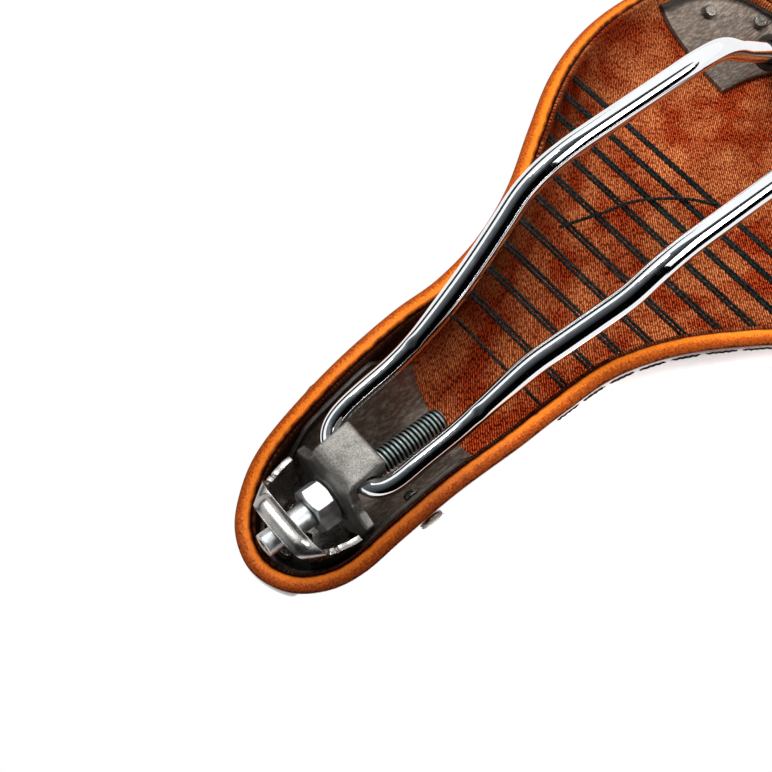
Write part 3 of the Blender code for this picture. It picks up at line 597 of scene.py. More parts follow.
# Drawn tight, the stitches sink into the leather by more than half the cord
LACE_RISE, LACE_STANDOFF, LACE_CORNER = 3.6 * MM, -0.9 * MM, 0.6 * MM
# The cord starts and ends this far inside the leather
LACE_TAIL = 6.0 * MM
# Stations between which the skirt's lower edge runs from front to rear
SKIRT_FIRST, SKIRT_LAST = 2.0, 14.0


def skirt_place(y, rise):
    """Rim and section parameter of the skirt at a y, at a height above its rim."""
    u = solve(lambda t: leather_point(t, 0).y - y, SKIRT_FIRST, SKIRT_LAST)
    for _ in range(4):
        rim_z = leather_point(u, 0).z
        v = solve(lambda t: leather_point(u, t).z - rim_z - rise, 0.0, 0.6)
        u = solve(lambda t: leather_point(t, v).y - y, SKIRT_FIRST, SKIRT_LAST)
    return u, v


def lace_strands():
    """Strands across the saddle: y, z and half width to the stitch outside the skirt.
    The first is single, and the others come in pairs."""
    strands = []
    for k in range(LACE_COUNT):
        for offset in (-LACE_STITCH / 2, LACE_STITCH / 2) if k else (0.0,):
            y = LACE_FIRST_Y + k * LACE_PITCH + offset
            u, v = skirt_place(y, LACE_RISE)
            out = LEATHER_THICK / 2 + CORD_DIAMETER / 2 + LACE_STANDOFF
            place = leather_point(u, v)
            strands.append((y, place.z, place.x + out / leather_normal(u, v).x))
    return strands


def rounded(points, radius):
    """Path with each corner cut back and rounded by three points."""
    path = [points[0]]
    for before, corner, after in zip(points, points[1:], points[2:]):
        a = corner + (before - corner).normalized() * radius
        b = corner + (after - corner).normalized() * radius
        path += [a, (a + b) / 4 + corner / 2, b]
    return path + [points[-1]]


def lace_path(strands):
    corners = []
    for k, (y, z, half) in enumerate(strands):
        side = -1 if k % 2 == 0 else 1
        start, end = Vector((-side * half, y, z)), Vector((side * half, y, z))
        if k == 0:
            start.x = -side * (half - LEATHER_THICK - LACE_TAIL)
        if k == len(strands) - 1:
            end.x = side * (half - LEATHER_THICK - LACE_TAIL)
        corners += [start, end]
    return rounded(corners, LACE_CORNER)


strands = lace_strands()
print("lacing strands", len(strands))

# %% Braid along a route
PLY_RADIUS = 0.31 * MM
PLY_WAVE = 0.06 * MM
PLY_SIDES = 4
BRAID_PITCH = 3.6 * MM
BRAID_STEP = 0.55 * MM


def evenly(points, step):
    """Points at even steps along a line of straight stretches."""
    line = np.array([tuple(p) for p in points])
    length = np.concatenate([[0], np.cumsum(np.linalg.norm(np.diff(line, axis=0), axis=1))])
    where = np.linspace(0, length[-1], max(2, int(length[-1] / step)) + 1)
    return np.stack([np.interp(where, length, line[:, k]) for k in range(3)], axis=1), where


def frames_along(line):
    """Two directions square to a line at each point, turning as little as possible."""
    along = np.gradient(line, axis=0)
    along /= np.linalg.norm(along, axis=1)[:, None]
    side = np.cross(along[0], (0, 0, 1.0))
    if np.linalg.norm(side) < 0.1:
        side = np.cross(along[0], (1.0, 0, 0))
    sides = []
    for direction in along:
        side = side - direction * (side @ direction)
        side /= np.linalg.norm(side)
        sides.append(side)
    sides = np.array(sides)
    return sides, np.cross(along, sides)


def sweep(work, line, radii, count):
    """Closed tube round a line with a radius at each point."""
    sides, ups = frames_along(line)
    turns = 2 * np.pi * np.arange(count) / count
    rows = []
    for point, side, up, radius in zip(line, sides, ups, radii):
        ring = point + radius * (np.cos(turns)[:, None] * side + np.sin(turns)[:, None] * up)
        rows.append([work.verts.new(p) for p in ring])
    grid_faces(work, rows, loop=True)
    work.faces.new(rows[0])
    work.faces.new(rows[-1])
    return rows


def braid(name, points, finish):
    """Four plies along a route: two turn one way and two the other, passing over and under."""
    line, where = evenly(points, BRAID_STEP)
    sides, ups = frames_along(line)
    work = bmesh.new()
    for way, start in ((1, 0.0), (1, math.pi), (-1, 0.5 * math.pi), (-1, 1.5 * math.pi)):
        turn = way * 2 * np.pi * where / BRAID_PITCH + start
        over = way * np.sin(4 * np.pi * where / BRAID_PITCH)
        lift = CORD_DIAMETER / 2 - PLY_RADIUS - PLY_WAVE * (1 - over)
        ply = line + lift[:, None] * (np.cos(turn)[:, None] * sides + np.sin(turn)[:, None] * ups)
        sweep(work, ply, [PLY_RADIUS] * len(ply), PLY_SIDES)
    piece = mesh_piece(name, work, finish)
    piece.data.set_sharp_from_angle(angle=ALL_SMOOTH)
    return piece


lacing = braid("braided_lacing", lace_path(strands), cord_finish)
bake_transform(lacing)
stand_for(lacing, "lacing_cord", None)
print("lacing faces", len(lacing.data.polygons))

# %% Loose end across the lacing
# In mm: x and y of the points where it crosses under the strands
TIE_ROUTE = [
    (16.7, -23.1), (15.0, -17.5), (12.0, -9.0), (10.2, -0.9), (6.6, 7.4), (1.6, 15.8), (-4.0, 22.3),
]
TIE_STEP = 1.0 * MM


def smooth_path(points, step):
    """Points along a smooth curve through the given ones, about one step apart."""
    knots = [0.0]
    for a, b in zip(points, points[1:]):
        knots.append(knots[-1] + (b - a).length)
    count = max(2, round(knots[-1] / step))
    return [hermite(knots, points, knots[-1] * k / count) for k in range(count + 1)]


def tie_path():
    """The loose end runs on the underside of the strands."""
    below = CORD_DIAMETER + GAP
    points = []
    for x, y in TIE_ROUTE:
        near = min(strands, key=lambda s: abs(s[0] - y * MM))
        points.append(Vector((x * MM, y * MM, near[1] - below)))
    return smooth_path(points, TIE_STEP)


tie = braid("braided_tie", tie_path(), cord_finish)
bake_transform(tie)
stand_for(tie, "tie_cord", None)
print("tie faces", len(tie.data.polygons))

# %% [markdown]
# ## Rails
# One steel rod, bent cold, polished and chrome plated. Chrome is a mirror, so its look is the room: white
# walls along both sides, a dark band from the dark side of the room behind the camera, and a fine dark line
# from beyond the floor's edge. A curve with a bevel could make the rod, but a swept tube can be dented
# afterwards by the die that bent it.

# %% Chrome finish


def chrome_plate():
    made, tree, shader = finish_material("chrome_plate", Metallic=1.0, Roughness=0.05)
    place = add(tree, "ShaderNodeTexCoord").outputs["Object"]
    # Polishing leaves slow waves some 6 mm long and fine smears
    waves = add(tree, "ShaderNodeTexNoise", {"Vector": place, "Scale": 1 / (6 * MM), "Detail": 2.0})
    smear = add(tree, "ShaderNodeTexNoise", {"Vector": place, "Scale": 1 / (1.5 * MM), "Detail": 4.0})
    rough = add(tree, "ShaderNodeMapRange", {"Value": smear.outputs["Fac"], "From Min": 0.35,
                                             "From Max": 0.8, "To Min": 0.03, "To Max": 0.12})
    tree.links.new(rough.outputs[0], shader.inputs["Roughness"])
    colour = add(tree, "ShaderNodeMix", {"Factor": waves.outputs["Fac"], 6: linear("#EAEDF0"),
                                         7: linear("#F7F8F9")}, data_type="RGBA")
    tree.links.new(colour.outputs[2], shader.inputs["Base Color"])
    bump = add(tree, "ShaderNodeBump", {"Height": waves.outputs["Fac"], "Strength": 0.06,
                                        "Distance": 0.4 * MM})
    tree.links.new(bump.outputs[0], shader.inputs["Normal"])
    return made


chrome = chrome_plate()
print("chrome nodes", len(chrome.node_tree.nodes))

# %% Bent rails
RAIL_DIAMETER, RAIL_FRONT_DIAMETER, RAIL_SPACING = 7.0 * MM, 5.9 * MM, 45.0 * MM
CROSSBAR_Y, CROSSBAR_Z, LOOP_HALF = -115.5 * MM, 41.1 * MM, 13.7 * MM
CLAMP_HALF = 30.0 * MM
RAIL_END = Vector((35.0, 97.0, 53.0)) * MM
RAIL_STEP, RAIL_SIDES, EASE_ROUNDS = 0.6 * MM, 40, 16
TAPER_FRONT_Y, TAPER_LENGTH = -84.0 * MM, 20.0 * MM
DENT_Y, DENT_RADIUS, DENT_DEPTH = -80.7 * MM, 1.7 * MM, 0.5 * MM
# Past this many radii nothing is left of a dent
DENT_END = 3


def rail_path(step):
    """One side from the crossbar to its socket through listed points, and its mirror image."""
    half, loop, z = RAIL_SPACING / 2, LOOP_HALF, CROSSBAR_Z
    side = [
        Vector((0, CROSSBAR_Y, z)),
        Vector((loop - 7.0 * MM, CROSSBAR_Y, z)),
        Vector((loop - 4.8 * MM, CROSSBAR_Y + 0.3 * MM, z)),
        Vector((loop - 1.9 * MM, CROSSBAR_Y + 2.8 * MM, z - 0.9 * MM)),
        Vector((loop - 0.4 * MM, CROSSBAR_Y + 7.0 * MM, z - 2.6 * MM)),
        Vector((loop, CROSSBAR_Y + 14.0 * MM, z - 5.0 * MM)),
        Vector((loop + 0.3 * MM, -0.0885, 0.0333)),
        Vector((loop + 0.6 * MM, -0.0799, 0.0298)),
        Vector((loop + 1.2 * MM, -0.0718, 0.0254)),
        Vector((loop + 2.2 * MM, -0.0631, 0.0204)),
        Vector((loop + 4.2 * MM, -0.0534, 0.0158)),
        Vector((half - 2.3 * MM, -0.0434, 0.0106)),
        Vector((half - 0.4 * MM, -0.0350, 0.0060)),
        Vector((half, -0.0270, 0.0023)),
        Vector((half, -0.0175, 0.0003)),
        Vector((half, -0.0100, 0)),
        Vector((half, CLAMP_HALF - 0.0060, 0)),
        Vector((half + 0.3 * MM, CLAMP_HALF + 0.0030, 0.0006)),
    ]
    bend = Vector((half + 1.5 * MM, CLAMP_HALF + 0.0150, 0.0048))
    side += [bend.lerp(RAIL_END, share) for share in (0.0, 0.3, 0.6, 0.8, 1.0)]
    right = smooth_path(side, step)
    return [Vector((-p.x, p.y, p.z)) for p in reversed(right[1:])] + right


def ease_between(low, high, value):
    """Smooth step from 0 at low to 1 at high."""
    share = min(1.0, max(0.0, (value - low) / (high - low)))
    return share * share * (3 - 2 * share)


def rail_radius(y):
    share = ease_between(TAPER_FRONT_Y, TAPER_FRONT_Y + TAPER_LENGTH, y)
    return (RAIL_FRONT_DIAMETER + (RAIL_DIAMETER - RAIL_FRONT_DIAMETER) * share) / 2


def die_mark(work, axis_point):
    """Small dent that the bending die left on the underside of a rail."""
    axis_point = Vector(axis_point)
    toward = (CAMERA_PLACE - axis_point).normalized()
    mark = axis_point + toward * RAIL_FRONT_DIAMETER / 2
    for vert in work.verts:
        away = (vert.co - mark).length / DENT_RADIUS
        if away < DENT_END:
            vert.co -= toward * DENT_DEPTH * math.exp(-away * away)


def rails_piece(finish):
    work = bmesh.new()
    line = np.array([tuple(p) for p in rail_path(RAIL_STEP)])
    # Ease the bends, as a bending die does
    for _ in range(EASE_ROUNDS):
        line[1:-1] = (line[:-2] + 2 * line[1:-1] + line[2:]) / 4
    sweep(work, line, [rail_radius(p[1]) for p in line], RAIL_SIDES)
    for side in (1, -1):
        die_mark(work, min(line, key=lambda p: abs(p[1] - DENT_Y) + (p[0] * side < 0)))
    return stand_for(mesh_piece("chromed_rails", work, finish), "rails", "frame")


rails = rails_piece(chrome)
print("rail faces", len(rails.data.polygons))

# %% [markdown]
# ## Screw and nut
# The screw is a zinc-plated steel bar with a rolled thread of 18 turns to the inch. A row of rings would do
# for the thread, but here it is one real helix: the radius at each point follows from how far it has turned.
# The nut is a hexagon with its corners turned down, which gives the curved edge between its flats and its
# face.

# %% Zinc finish


def zinc_plate():
    made, tree, shader = finish_material("zinc_plate", Metallic=1.0, Roughness=0.3)
    place = add(tree, "ShaderNodeTexCoord").outputs["Object"]
    # Zinc dries in soft clouds of about 2 mm over a fine grit
    clouds = add(tree, "ShaderNodeTexNoise", {"Vector": place, "Scale": 1 / (2 * MM), "Detail": 4.0})
    grit = add(tree, "ShaderNodeTexNoise", {"Vector": place, "Scale": 1 / (0.35 * MM), "Detail": 3.0})
    plate = add(tree, "ShaderNodeMix", {"Factor": clouds.outputs["Fac"], 6: linear("#AAAEB0"),
                                        7: linear("#D8DADA")}, data_type="RGBA")
    depth = add(tree, "ShaderNodeAttribute", attribute_name="groove").outputs["Fac"]
    # The groove of the thread is drawn green-black, and the crests keep the plate's colour
    groove_darkening = add(tree, "ShaderNodeMapRange", {"Value": depth, "From Min": 0.2, "From Max": 0.5})
    colour = add(tree, "ShaderNodeMix", {"Factor": groove_darkening.outputs[0], 6: plate.outputs[2],
                                         7: linear("#1A3E36")}, data_type="RGBA")
    tree.links.new(colour.outputs[2], shader.inputs["Base Color"])
    rough = add(tree, "ShaderNodeMapRange", {"Value": clouds.outputs["Fac"], "From Min": 0.3,
                                             "From Max": 0.7, "To Min": 0.34, "To Max": 0.5})
    tree.links.new(rough.outputs[0], shader.inputs["Roughness"])
    bump = add(tree, "ShaderNodeBump", {"Height": grit.outputs["Fac"], "Strength": 0.25,
                                        "Distance": 0.06 * MM})
    tree.links.new(bump.outputs[0], shader.inputs["Normal"])
    return made


zinc = zinc_plate()
print("zinc nodes", len(zinc.node_tree.nodes))

# %% Threaded screw
BOLT_RADIUS, BOLT_Z, BOLT_END_Y = 3.95 * MM, 52.7 * MM, -81.4 * MM
PIN_RADIUS, PIN_TIP_Y, PIN_SHOULDER_Y = 3.65 * MM, -146.0 * MM, -138.0 * MM
THREAD_PITCH, THREAD_DEPTH, THREAD_START_Y = 1.41 * MM, 0.75 * MM, -131.0 * MM
SOCKET_RADIUS, SOCKET_DEPTH = 2.0 * MM, 3.0 * MM
# Steepness of the groove's flanks, and what is cut off its wave to leave a flat crest
FLANK_STEEPNESS, CREST_FLAT = 2.9, 0.28
# Rings for each turn of the thread, and turns over which it runs in and leads out
TURN_RINGS, RUN_IN_TURNS, LEAD_TURNS = 10, 2, 1.2


def screw_piece(finish, sides=40):
    """The bar from its socket to its end; on the thread the radius follows the turn."""
    work = bmesh.new()
    layer = work.verts.layers.float.new("groove")
    stations = [(PIN_TIP_Y + SOCKET_DEPTH, 0.0), (PIN_TIP_Y + SOCKET_DEPTH, SOCKET_RADIUS),
                (PIN_TIP_Y + 0.2 * MM, SOCKET_RADIUS), (PIN_TIP_Y, SOCKET_RADIUS + 0.25 * MM),
                (PIN_TIP_Y, PIN_RADIUS - 0.5 * MM), (PIN_TIP_Y + 0.15 * MM, PIN_RADIUS - 0.15 * MM),
                (PIN_TIP_Y + 0.5 * MM, PIN_RADIUS), (PIN_SHOULDER_Y - 0.2 * MM, PIN_RADIUS),
                (PIN_SHOULDER_Y + 0.2 * MM, BOLT_RADIUS)]
    stations += [(y, BOLT_RADIUS) for y in spread(PIN_SHOULDER_Y + 1 * MM, THREAD_START_Y, 6)]
    ring_count = int((BOLT_END_Y - THREAD_START_Y) / THREAD_PITCH * TURN_RINGS)
    thread = spread(THREAD_START_Y, BOLT_END_Y, ring_count)[1:]
    stations += [(y, BOLT_RADIUS) for y in thread] + [(BOLT_END_Y, 0.0)]
    rows = []
    for y, radius in stations:
        row = []
        for k in range(sides):
            turn = k / sides
            depth = 0.0
            if y > THREAD_START_Y and radius > 0:
                phase = ((y - THREAD_START_Y) / THREAD_PITCH + turn) % 1.0
                wave = max(0.0, min(1.0, (0.5 - abs(phase - 0.5)) * FLANK_STEEPNESS - CREST_FLAT))
                run_in = min(1.0, (y - THREAD_START_Y) / (RUN_IN_TURNS * THREAD_PITCH))
                depth = wave * run_in
                lead = max(0.0, 1 - (BOLT_END_Y - y) / (LEAD_TURNS * THREAD_PITCH))
                out = min(BOLT_RADIUS - depth * THREAD_DEPTH, BOLT_RADIUS - lead * THREAD_DEPTH)
            else:
                out = radius
            angle = 2 * math.pi * turn
            vert = work.verts.new((out * math.cos(angle), y, BOLT_Z + out * math.sin(angle)))
            vert[layer] = depth
            row.append(vert)
        rows.append(row)
    grid_faces(work, rows, loop=True)
    bmesh.ops.remove_doubles(work, verts=work.verts, dist=JOIN / 2)
    return stand_for(mesh_piece("tension_screw", work, finish), "tension_bolt", "nose")


screw = screw_piece(zinc)
print("screw faces", len(screw.data.polygons))

# %% Hexagon nut
NUT_ACROSS, NUT_LENGTH, NUT_REAR_Y = 13.3 * MM, 7.0 * MM, -123.0 * MM
NUT_CLEARANCE, NUT_MOUTH, NUT_EASE = 0.35 * MM, 0.6 * MM, 0.18 * MM
# The round face reaches to this share of the flats, and the cone starts there
NUT_FACE = 0.95
NUT_CONE, NUT_CORNER = math.radians(30), math.radians(20)


def nut_piece(finish, sides=144):
    """Hexagon nut: each face is dished down towards the corners by a cone."""
    work = bmesh.new()
    half, flat, bore = NUT_LENGTH / 2, NUT_ACROSS / 2, BOLT_RADIUS + NUT_CLEARANCE
    middle = NUT_REAR_Y - half
    face, mouth = flat * NUT_FACE, bore + NUT_MOUTH
    rows = []
    for k in range(sides):
        angle = 2 * math.pi * k / sides
        out = flat / math.cos((angle + math.pi / 6) % (math.pi / 3) - math.pi / 6)
        drop = (out - face) * math.tan(NUT_CONE)
        profile = [(bore, -half + NUT_MOUTH), (bore, half - NUT_MOUTH), (mouth, half), (face, half),
                   (out, half - drop), (out, -half + drop), (face, -half), (mouth, -half)]
        rows.append([work.verts.new((r * math.sin(angle), middle + y, BOLT_Z + r * math.cos(angle)))
                     for r, y in profile])
    grid_faces(work, rows + rows[:1], loop=True)
    piece = mesh_piece("hexagon_nut", work, finish)
    piece.data.set_sharp_from_angle(angle=NUT_CORNER)
    eased(piece, NUT_EASE, NUT_CORNER)
    return stand_for(piece, "tension_nut", "nut")


nut = nut_piece(zinc)
print("nut faces", len(nut.data.polygons))

# %% [markdown]
# ## Forged steel
# The shackle is a drop-forged hook, tumbled with grit: its corners are soft and worn bright. A bevel would
# round each edge by itself, so instead the model's solid is copied, turned into an even skin of small faces
# and smoothed, which rounds every corner by about the same amount.

# %% Tumbled steel finish


def tumbled_steel():
    made, tree, shader = finish_material("tumbled_steel", Metallic=1.0, Roughness=0.42)
    place = add(tree, "ShaderNodeTexCoord").outputs["Object"]
    # Grit marks are about 0.5 mm, over stains some 5 mm across
    marks = add(tree, "ShaderNodeTexNoise", {"Vector": place, "Scale": 1 / (0.5 * MM), "Detail": 5.0,
                                             "Roughness": 0.7})
    stains = add(tree, "ShaderNodeTexNoise", {"Vector": place, "Scale": 1 / (5 * MM), "Detail": 3.0})
    body = add(tree, "ShaderNodeMix", {"Factor": stains.outputs["Fac"], 6: linear("#3A3733"),
                                       7: linear("#9C9994")}, data_type="RGBA")
    pits = add(tree, "ShaderNodeMapRange", {"Value": marks.outputs["Fac"], "From Min": 0.38,
                                            "From Max": 0.62, "To Min": 0.55, "To Max": 1.3})
    body = add(tree, "ShaderNodeMix", {"Factor": 1.0, 6: body.outputs[2], 7: pits.outputs[0]},
               data_type="RGBA", blend_type="MULTIPLY")
    # Outer corners are worn bright
    corners = add(tree, "ShaderNodeNewGeometry").outputs["Pointiness"]
    worn = add(tree, "ShaderNodeMapRange", {"Value": corners, "From Min": 0.52, "From Max": 0.62})
    colour = add(tree, "ShaderNodeMix", {"Factor": worn.outputs[0], 6: body.outputs[2],
                                         7: linear("#AFADA8")}, data_type="RGBA")
    tree.links.new(colour.outputs[2], shader.inputs["Base Color"])
    rough = add(tree, "ShaderNodeMapRange", {"Value": marks.outputs["Fac"], "From Min": 0.3,
                                             "From Max": 0.7, "To Min": 0.4, "To Max": 0.6})
    tree.links.new(rough.outputs[0], shader.inputs["Roughness"])
    bump = add(tree, "ShaderNodeBump", {"Height": marks.outputs["Fac"], "Strength": 0.35,
                                        "Distance": 0.08 * MM})
    tree.links.new(bump.outputs[0], shader.inputs["Normal"])
    return made


steel = tumbled_steel()
print("steel nodes", len(steel.node_tree.nodes))

# %% Softened shackle


def softened(name, node, finish, size, rounds):
    """Copy of a node's solid as an even skin, smoothed to round its corners."""
    piece = bpy.data.objects.new(name, frame["nodes"][node].data.copy())
    scene.collection.objects.link(piece)
    skin = piece.modifiers.new("skin", "REMESH")
    skin.mode = "VOXEL"
    skin.voxel_size = size
    smooth = piece.modifiers.new("smooth", "SMOOTH")
    smooth.iterations = rounds
    smooth.factor = 0.5
    applied(piece)
    piece.data.materials.clear()
    piece.data.materials.append(finish)
    piece.data.shade_smooth()
    return piece


shackle = softened("forged_shackle", "tension_shackle", steel, size=0.3 * MM, rounds=24)
stand_for(shackle, "tension_shackle", "frame")
print("shackle faces", len(shackle.data.polygons))

# %% [markdown]
# ## Nose piece
# A cup pressed from bright steel sits inside a browned tongue plate. Its wall edges were sheared, and a
# strap arches over the pin of the screw. Both could be modelled on their own, but they have to seat in the
# leather, so both follow its surface at their own depth. The cantle plate at the rear is made in the same
# way, and the rails' sockets are softened copies, like the shackle.

# %% Pressed steel and browned plate finishes


def pressed_steel():
    made, tree, shader = finish_material("pressed_steel", Metallic=1.0, Roughness=0.3)
    place = add(tree, "ShaderNodeTexCoord").outputs["Object"]
    # Drawing leaves streaks 0.4 mm wide and about 6 mm long
    stretched = add(tree, "ShaderNodeMapping", {
        "Vector": place, "Scale": (1 / (0.4 * MM), 1 / (6 * MM), 1 / (0.4 * MM))})
    streaks = add(tree, "ShaderNodeTexNoise", {"Vector": stretched.outputs[0], "Scale": 1.0, "Detail": 4.0})
    stains = add(tree, "ShaderNodeTexNoise", {"Vector": place, "Scale": 1 / (4 * MM), "Detail": 4.0})
    colour = add(tree, "ShaderNodeMix", {"Factor": stains.outputs["Fac"], 6: linear("#7A7672"),
                                         7: linear("#C8C5C1")}, data_type="RGBA")
    tree.links.new(colour.outputs[2], shader.inputs["Base Color"])
    rough = add(tree, "ShaderNodeMapRange", {"Value": streaks.outputs["Fac"], "From Min": 0.3,
                                             "From Max": 0.7, "To Min": 0.24, "To Max": 0.34})
    tree.links.new(rough.outputs[0], shader.inputs["Roughness"])
    bump = add(tree, "ShaderNodeBump", {"Height": streaks.outputs["Fac"], "Strength": 0.05,
                                        "Distance": 0.06 * MM})
    tree.links.new(bump.outputs[0], shader.inputs["Normal"])
    return made


def browned_plate():
    made, tree, shader = finish_material("browned_plate", Metallic=0.55, Roughness=0.45)
    place = add(tree, "ShaderNodeTexCoord").outputs["Object"]
    # Scratches some 0.6 mm wide and 2.5 mm long run aslant over patches of scale about 7 mm across
    stretched = add(tree, "ShaderNodeMapping", {"Vector": place, "Rotation": (0, 0, math.radians(25)),
                                                "Scale": (1 / (0.6 * MM), 1 / (2.5 * MM), 1 / (2 * MM))})
    scratches = add(tree, "ShaderNodeTexNoise", {"Vector": stretched.outputs[0], "Scale": 1.0,
                                                 "Detail": 6.0, "Roughness": 0.75})
    scale = add(tree, "ShaderNodeTexNoise", {"Vector": place, "Scale": 1 / (7 * MM), "Detail": 4.0})
    body = add(tree, "ShaderNodeMix", {"Factor": scale.outputs["Fac"], 6: linear("#35281F"),
                                       7: linear("#76675B")}, data_type="RGBA")
    shown = add(tree, "ShaderNodeMapRange", {"Value": scratches.outputs["Fac"], "From Min": 0.46,
                                             "From Max": 0.7, "To Max": 0.5})
    colour = add(tree, "ShaderNodeMix", {"Factor": shown.outputs[0], 6: body.outputs[2],
                                         7: linear("#C8BCB0")}, data_type="RGBA")
    # Painted shade: the plate is blackened about 3 mm along its edge, and all of it in the nose
    rim = add(tree, "ShaderNodeAttribute", attribute_name="from_rim").outputs["Fac"]
    margin = add(tree, "ShaderNodeMapRange", {"Value": rim, "From Min": 4 * MM, "From Max": 2 * MM,
                                              "To Max": 0.85})
    along = add(tree, "ShaderNodeSeparateXYZ", {"Vector": place}).outputs["Y"]
    nose = add(tree, "ShaderNodeMapRange", {"Value": along, "From Min": -112 * MM, "From Max": -126 * MM,
                                            "To Max": 0.9})
    plate_shade = add(tree, "ShaderNodeMath", {0: nose.outputs[0], 1: margin.outputs[0]}, operation="MAXIMUM")
    colour = add(tree, "ShaderNodeMix", {"Factor": plate_shade.outputs[0], 6: colour.outputs[2],
                                         7: linear("#0E0A08")}, data_type="RGBA")
    tree.links.new(colour.outputs[2], shader.inputs["Base Color"])
    rough = add(tree, "ShaderNodeMapRange", {"Value": scratches.outputs["Fac"], "From Min": 0.3,
                                             "From Max": 0.7, "To Min": 0.32, "To Max": 0.55})
    tree.links.new(rough.outputs[0], shader.inputs["Roughness"])
    bump = add(tree, "ShaderNodeBump", {"Height": scratches.outputs["Fac"], "Strength": 0.2,
                                        "Distance": 0.1 * MM})
    tree.links.new(bump.outputs[0], shader.inputs["Normal"])
    return made


bright, brown = pressed_steel(), browned_plate()
print("sheet nodes", len(bright.node_tree.nodes), len(brown.node_tree.nodes))

# %% Tongue plate, cantle plate and sockets
NOSE_PLATE_THICK, CANTLE_THICK, PLATE_EASE = 1.6 * MM, 2.0 * MM, 0.25 * MM
PLATE_CORNER = math.radians(50)
PLATE_FACE = LINING_DEPTH + LINING_THICK / 2 + GAP
NOSE_PLATE_DEPTH = PLATE_FACE + NOSE_PLATE_THICK / 2
CANTLE_DEPTH = PLATE_FACE + CANTLE_THICK / 2
# The tongue plate's edge, as station along the rim and share of the section
NOSE_PLATE_EDGE = [(0.0, 0.18), (3.0, 0.18), (4.0, 0.03), (5.3, 0.03), (6.0, 0.20)]
NOSE_PLATE_STEPS = (60, 24)
# The cantle plate's first station, and its edges as shares of the section
CANTLE_START, CANTLE_LOW, CANTLE_HIGH = 14.0, 1 / 9, 6 / 9
CANTLE_STEPS = (40, 20)


def plate_piece(name, sections, thickness, finish):
    """Sheet from half sections, mirrored, thickened and with its edges eased."""
    work = bmesh.new()
    layer = work.verts.layers.float.new("from_rim")
    two_sided(work, [[(p, (p - section[0]).length) for p in section] for section in sections], layer)
    piece = mesh_piece(name, work, finish)
    thickened(piece, thickness)
    eased(piece, PLATE_EASE, PLATE_CORNER)
    return piece


def nose_plate_sections():
    """The plate reaches to the rim at its sides only, and its rear corners are cut off."""
    stations, starts = zip(*NOSE_PLATE_EDGE)
    rows = []
    for u in spread(0, stations[-1], NOSE_PLATE_STEPS[0]):
        start = float(np.interp(u, stations, starts))
        rows.append([layer_point(u, v, NOSE_PLATE_DEPTH) for v in spread(start, 1, NOSE_PLATE_STEPS[1])])
    return rows


def cantle_sections():
    shares = spread(CANTLE_LOW, CANTLE_HIGH, CANTLE_STEPS[1])
    return [[layer_point(u, v, CANTLE_DEPTH) for v in shares]
            for u in spread(CANTLE_START, LAST_STATION, CANTLE_STEPS[0])]


nose_plate = plate_piece("tongue_plate", nose_plate_sections(), NOSE_PLATE_THICK, brown)
stand_for(nose_plate, "nose_plate", "nose")
cantle_plate = plate_piece("cantle_bridge", cantle_sections(), CANTLE_THICK, brown)
stand_for(cantle_plate, "cantle_plate", "frame")
for side in ("left", "right"):
    socket = softened("rail_cup_" + side, "rail_socket_" + side, brown, size=0.4 * MM, rounds=6)
    stand_for(socket, "rail_socket_" + side, "frame")
print("plate faces", len(nose_plate.data.polygons), len(cantle_plate.data.polygons))

# %% Pressed cup
CUP_THICK, CUP_SEAT_GAP, CUP_EASE = 1.8 * MM, 0.4 * MM, 0.3 * MM
CUP_DEPTH = PLATE_FACE + NOSE_PLATE_THICK + CUP_SEAT_GAP + CUP_THICK / 2
# Ends along the rim, in stations
CUP_FRONT, STRAP_END, CUP_REAR, CUP_FRONT_SLANT = 1.5, 2.2, 3.42, 0.4
CUP_EDGE_Z, CUP_FRONT_EDGE_Z = 50.0 * MM, 52.0 * MM
CUP_FLARE, CUP_FLARE_END = 0.5 * MM, 2.7
STRAP_FRONT_Y, STRAP_REAR_Y, STRAP_CLEARANCE = -142.5 * MM, -136.3 * MM, 0.5 * MM
STRAP_BEAD, STRAP_FLATNESS, BEAD_HALF = 1.3 * MM, 0.62, 8.5 * MM
STRAP_STEPS, CUP_STEPS = 26, 48
# Waves of the sheared edge and its notch: the notch's place and width are in stations
SHEAR_WAVE, SHEAR_TURNS = 0.06 * MM, 11
NOTCH_STATION, NOTCH_WIDTH, NOTCH_DEPTH = 2.5, 0.05, 0.7 * MM


def shear_tear(u):
    """Small waves of a sheared edge, with one notch where the shear stopped."""
    notch = math.exp(-((u - NOTCH_STATION) / NOTCH_WIDTH) ** 2)
    return SHEAR_WAVE * math.sin(SHEAR_TURNS * u) + NOTCH_DEPTH * notch


